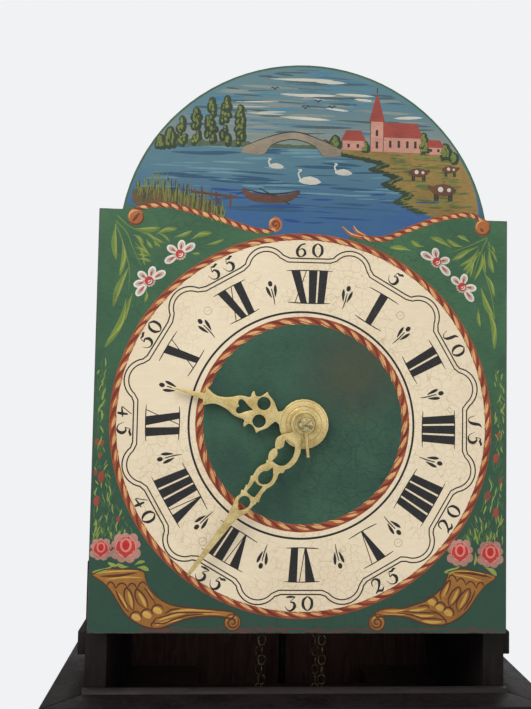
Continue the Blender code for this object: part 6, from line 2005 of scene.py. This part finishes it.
@dataclass
class Hands:
    """Turned rings, engraving and the cap that dress the pierced brass hands."""

    shop: Workshop
    hour_angle: float = 284.5
    minute_angle: float = 217.0
    hour_front: float = 5.4
    minute_front: float = 10.3
    cap_back: float = 16.7
    cap_front: float = 19.5

    @staticmethod
    def turned(points: list[Point], angle: float) -> list[Point]:
        """Turn points given along and across a hand to the dial.

        Args:
            points: along the hand and across it, in millimetres.
            angle: clock angle of the hand.

        Returns:
            The points on the dial.
        """
        x, z = polar(1.0, angle)
        return [(x * along + z * across, z * along - x * across) for along, across in points]

    def collar(self, name: str, outer: float, inner: float, low: float, high: float, body: str) -> None:
        """Put a turned step on a hand's boss.

        Args:
            name: name of the piece.
            outer: its outer radius.
            inner: its inner radius.
            low: height of its back above the dial.
            high: height of its front.
            body: body that it rides on.
        """
        piece = plate(name, [ring(outer, 64), ring(inner, 48)], low, high, 0.3)
        fit(piece, body, Slot.HAND, self.shop.get("hand_pale_brass"))

    def build(self) -> None:
        """Dress both hands."""
        self.collar("hour_hand_step", 11.6, 7.2, self.hour_front - 0.3, self.hour_front + 0.9, "hour")
        grooves = Brush()
        grooves.line(ring(16.0, 64), 0.22, True)
        grooves.line(ring(12.4, 56), 0.3, True)
        for sign in (-1, 1):
            cut = [(51.0, sign * 2.6), (56.0, sign * 1.5), (62.0, sign * 1.2)]
            grooves.line(self.turned(cut, self.hour_angle), 0.16)
        engraving = grooves.relief("hour_hand_engraving", self.hour_front, 0.25)
        fit(engraving, "hour", Slot.HAND, self.shop.get("cut_brass"))
        self.collar("minute_hand_step", 8.9, 7.4, self.minute_front - 0.3, self.minute_front + 0.5, "minute")
        lines = Brush()
        for along in (36.2, 61.4):
            lines.line(self.turned([(along, -3.0), (along, 3.0)], self.minute_angle), 0.16)
        engraving = lines.relief("minute_hand_engraving", self.minute_front, 0.25)
        fit(engraving, "minute", Slot.HAND, self.shop.get("cut_brass"))
        cap = plate("stud_cap", [ring(5.0, 40)], self.cap_back, self.cap_front, 0.5)
        fit(cap, "case", Slot.BRASS, self.shop.get("old_brass"))


@dataclass
class Chain:
    """Endless chain of round bronze links."""

    shop: Workshop
    wheel: float = 0.023
    pulley: float = 0.0195
    going: float = -0.1165
    strike: float = -0.0775
    middle: float = -0.097
    arbor: float = -0.045
    pulley_height: float = -0.5
    pitch: float = 0.0073
    wire: float = 0.00072
    half_wide: float = 0.0028
    half_long: float = 0.0044
    steps: int = 12

    def link(self) -> Piece:
        """Bend one oval link that runs along Z.

        Returns:
            The link.
        """
        bpy.ops.object.select_all(action="DESELECT")
        bpy.ops.mesh.primitive_torus_add(
            major_segments=12,
            minor_segments=5,
            major_radius=self.half_wide,
            minor_radius=self.wire,
            rotation=(math.pi / 2, 0, 0),
        )
        piece = bpy.context.active_object
        settle(piece)
        stretch = self.half_long - self.half_wide
        bpy.ops.object.mode_set(mode="EDIT")
        bpy.ops.mesh.select_all(action="DESELECT")
        bpy.ops.object.mode_set(mode="OBJECT")
        for side in (-1, 1):
            for vertex in piece.data.vertices:
                vertex.select = vertex.co.z * side > 1e-6
            bpy.ops.object.mode_set(mode="EDIT")
            bpy.ops.transform.translate(value=(0.0, 0.0, side * stretch))
            bpy.ops.object.mode_set(mode="OBJECT")
        bpy.ops.object.shade_smooth()
        return piece

    def strand(self, name: str, path: list[Vector], first: int = 0) -> Piece:
        """Hang links along a path.

        Args:
            name: name of the piece.
            path: points that the strand follows.
            first: 1 where the first link stands edge on.

        Returns:
            All links as one mesh.
        """
        lengths = [0.0]
        for a, b in zip(path, path[1:]):
            lengths.append(lengths[-1] + (b - a).length)
        count = max(1, round(lengths[-1] / self.pitch))
        model = self.link()
        copies = []
        for i in range(count):
            along = (i + 0.5) / count * lengths[-1]
            k = max(j for j, value in enumerate(lengths[:-1]) if value <= along)
            share = (along - lengths[k]) / (lengths[k + 1] - lengths[k])
            spot = path[k].lerp(path[k + 1], share)
            ahead = (path[k + 1] - path[k]).normalized()
            side = Vector((1.0, 0.0, 0.0)) if abs(ahead.x) < 0.7 else Vector((0.0, 0.0, 1.0))
            side = (side - ahead * side.dot(ahead)).normalized()
            front = ahead.cross(side)
            if (i + first) % 2:
                side, front = front, -side
            copy = model.copy()
            copy.data = model.data.copy()
            bpy.context.scene.collection.objects.link(copy)
            turn = Matrix((side, front, ahead)).transposed().to_4x4()
            copy.matrix_world = Matrix.Translation(spot) @ turn
            copies.append(copy)
        bpy.data.objects.remove(model)
        bpy.ops.object.select_all(action="DESELECT")
        for copy in copies:
            copy.select_set(True)
        bpy.context.view_layer.objects.active = copies[0]
        bpy.ops.object.join()
        piece = bpy.context.active_object
        piece.name = name
        settle(piece)
        close_seams(piece, 1e-7)
        return piece

    def half_turn(self, level: float, height: float, radius: float, up: int) -> list[Point]:
        """Return a half circle round a middle, over its top where up is 1 and under it where up is -1."""
        turns = [math.pi - up * math.pi * k / self.steps for k in range(self.steps + 1)]
        return [(level + radius * math.cos(turn), height + radius * math.sin(turn)) for turn in turns]

    def build(self) -> None:
        """Hang the chain."""
        bronze = self.shop.get("chain_bronze")
        over = self.half_turn(0.0, self.arbor, self.wheel, 1)
        under = self.half_turn(self.middle, self.pulley_height, self.pulley, -1)
        for name, path, body in (
            ("chain_over_going_wheel", [Vector((x, self.going, z)) for x, z in over], "case"),
            ("chain_over_strike_wheel", [Vector((x, self.strike, z)) for x, z in over], "case"),
            ("chain_under_pulley", [Vector((-self.wheel, y, z)) for y, z in under], "weight"),
            ("chain_through_ring", [Vector((self.wheel, y, z)) for y, z in under], "ring"),
        ):
            fit(self.strand(name, path), body, Slot.CHAIN, bronze, "drive_chain")
        for side, x, body in (("left", -self.wheel, "weight"), ("right", self.wheel, "ring")):
            for place, depth in (("front", self.going), ("back", self.strike)):
                top, low = Vector((x, depth, self.arbor)), Vector((x, depth, self.pulley_height))
                piece = self.strand(f"chain_{side}_{place}", [top, low], int(place == "back"))
                piece.data.materials.clear()
                piece.data.materials.append(bronze)
                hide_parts("drive_chain")
                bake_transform(piece)
                LOG.info("%s hangs between case and %s", piece.name, body)


@dataclass
class Carcase:
    """Finishes of the solids that are shown as they are."""

    shop: Workshop
    nodes: dict[str, Piece]
    soft: float = 0.0009
    filed: float = 0.0003
    finishes: dict[str, tuple[str, ...]] = field(
        default_factory=lambda: {
            "oak_upright": (
                "side_board_left", "side_board_right", "tail_side_left", "tail_side_right", "tail_front",
                "hood_runner_left", "hood_runner_right",
            ),
            "oak_across": ("seat_board",),
            # the front rail's lighter oak is a painted highlight
            "oak_rail": ("front_rail",),
            # the front ledge's darker oak is painted shade
            "oak_ledge": ("ledge_front",),
            # the console floor's light tone is partly painted light
            "oak_floor": ("console_floor",),
            "oak_deep": ("ledge_left", "ledge_right"),
            # the back board's light tone is partly painted light
            "oak_back": ("back_board",),
            "cut_brass": (
                "going_great_wheel", "going_second_wheel", "escape_wheel", "motion_wheel", "hour_wheel",
                "strike_great_wheel", "strike_second_wheel", "count_wheel", "lenticle_ring", "pendulum_bob",
                "rating_nut", "weight_pulley", "weight", "fly",
            ),
            "hand_pale_brass": ("hand_washer", "hand_pin", "hour_hand", "minute_hand"),
            "filed_steel": (
                "going_first_arbor", "going_second_arbor", "escape_arbor", "strike_first_arbor",
                "strike_second_arbor", "minute_tube", "anchor", "hammer", "lifting_piece",
            ),
            "forged_iron": (
                "front_bar", "middle_bar", "rear_bar", "bottom_plate", "top_plate", "pillar_front_left",
                "pillar_front_right", "pillar_rear_left", "pillar_rear_right", "suspension_cock",
                "bell_post", "dial_plate", "strike_chain_wheel",
            ),
            # the rod's and crutch's dark iron is partly painted shade
            "black_iron": ("crutch", "pendulum_rod"),
            "bell_bronze": ("bell",),
            "grey_lead": ("ring_weight",),
            "window_glass": ("lenticle_glass",),
        }
    )

    def smoothing(self) -> Tree:
        """Make a modifier tree that shades round faces smooth and keeps sharp edges.

        Returns:
            The tree.
        """
        tree = bpy.data.node_groups.new("round_faces_smooth", "GeometryNodeTree")
        tree.interface.new_socket("Geometry", in_out="INPUT", socket_type="NodeSocketGeometry")
        tree.interface.new_socket("Geometry", in_out="OUTPUT", socket_type="NodeSocketGeometry")
        entry, leave = tree.nodes.new("NodeGroupInput"), tree.nodes.new("NodeGroupOutput")
        faces = tree.nodes.new("GeometryNodeSetShadeSmooth")
        edges = tree.nodes.new("GeometryNodeSetShadeSmooth")
        edges.domain = "EDGE"
        edges.inputs["Shade Smooth"].default_value = False
        angle = tree.nodes.new("GeometryNodeInputMeshEdgeAngle")
        sharp = tree.nodes.new("FunctionNodeCompare")
        sharp.operation = "GREATER_THAN"
        sharp.inputs[1].default_value = math.radians(32)
        tree.links.new(angle.outputs["Unsigned Angle"], sharp.inputs[0])
        tree.links.new(entry.outputs[0], faces.inputs["Geometry"])
        tree.links.new(faces.outputs[0], edges.inputs["Geometry"])
        tree.links.new(sharp.outputs[0], edges.inputs["Selection"])
        tree.links.new(edges.outputs[0], leave.inputs[0])
        return tree

    def build(self) -> None:
        """Finish every solid and soften the edges of the boards."""
        tree = self.smoothing()
        for finish, names in self.finishes.items():
            for name in names:
                node = self.nodes[name]
                node.data.materials.clear()
                node.data.materials.append(self.shop.get(finish))
                weld = node.modifiers.new("weld", "WELD")
                weld.merge_threshold = 1e-5
                if finish.startswith("oak") or name.endswith("hand"):
                    bevel = node.modifiers.new("soft_edges", "BEVEL")
                    bevel.width = self.soft if finish.startswith("oak") else self.filed
                    bevel.segments = 2
                    bevel.limit_method = "ANGLE"
                    bevel.angle_limit = math.radians(40)
                smooth = node.modifiers.new("smooth", "NODES")
                smooth.node_group = tree
                LOG.info("%s is finished in %s", name, finish)


def clear_defaults() -> None:
    """Remove what a new file starts with."""
    for piece in list(bpy.data.objects):
        bpy.data.objects.remove(piece, do_unlink=True)


def main() -> None:
    """Dress the clock."""
    logging.basicConfig(level=logging.INFO)
    clear_defaults()
    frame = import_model()
    bpy.ops.object.select_all(action="DESELECT")
    Studio().build()
    shop = Workshop()
    Carcase(shop, frame["nodes"]).build()
    DialGround(shop).build()
    ArchPicture(shop).build()
    Figures(shop).build()
    Ropes(shop).build()
    Blossoms(shop).build()
    Horns(shop).build()
    Hands(shop).build()
    Chain(shop).build()


if __name__ == "__main__":
    main()
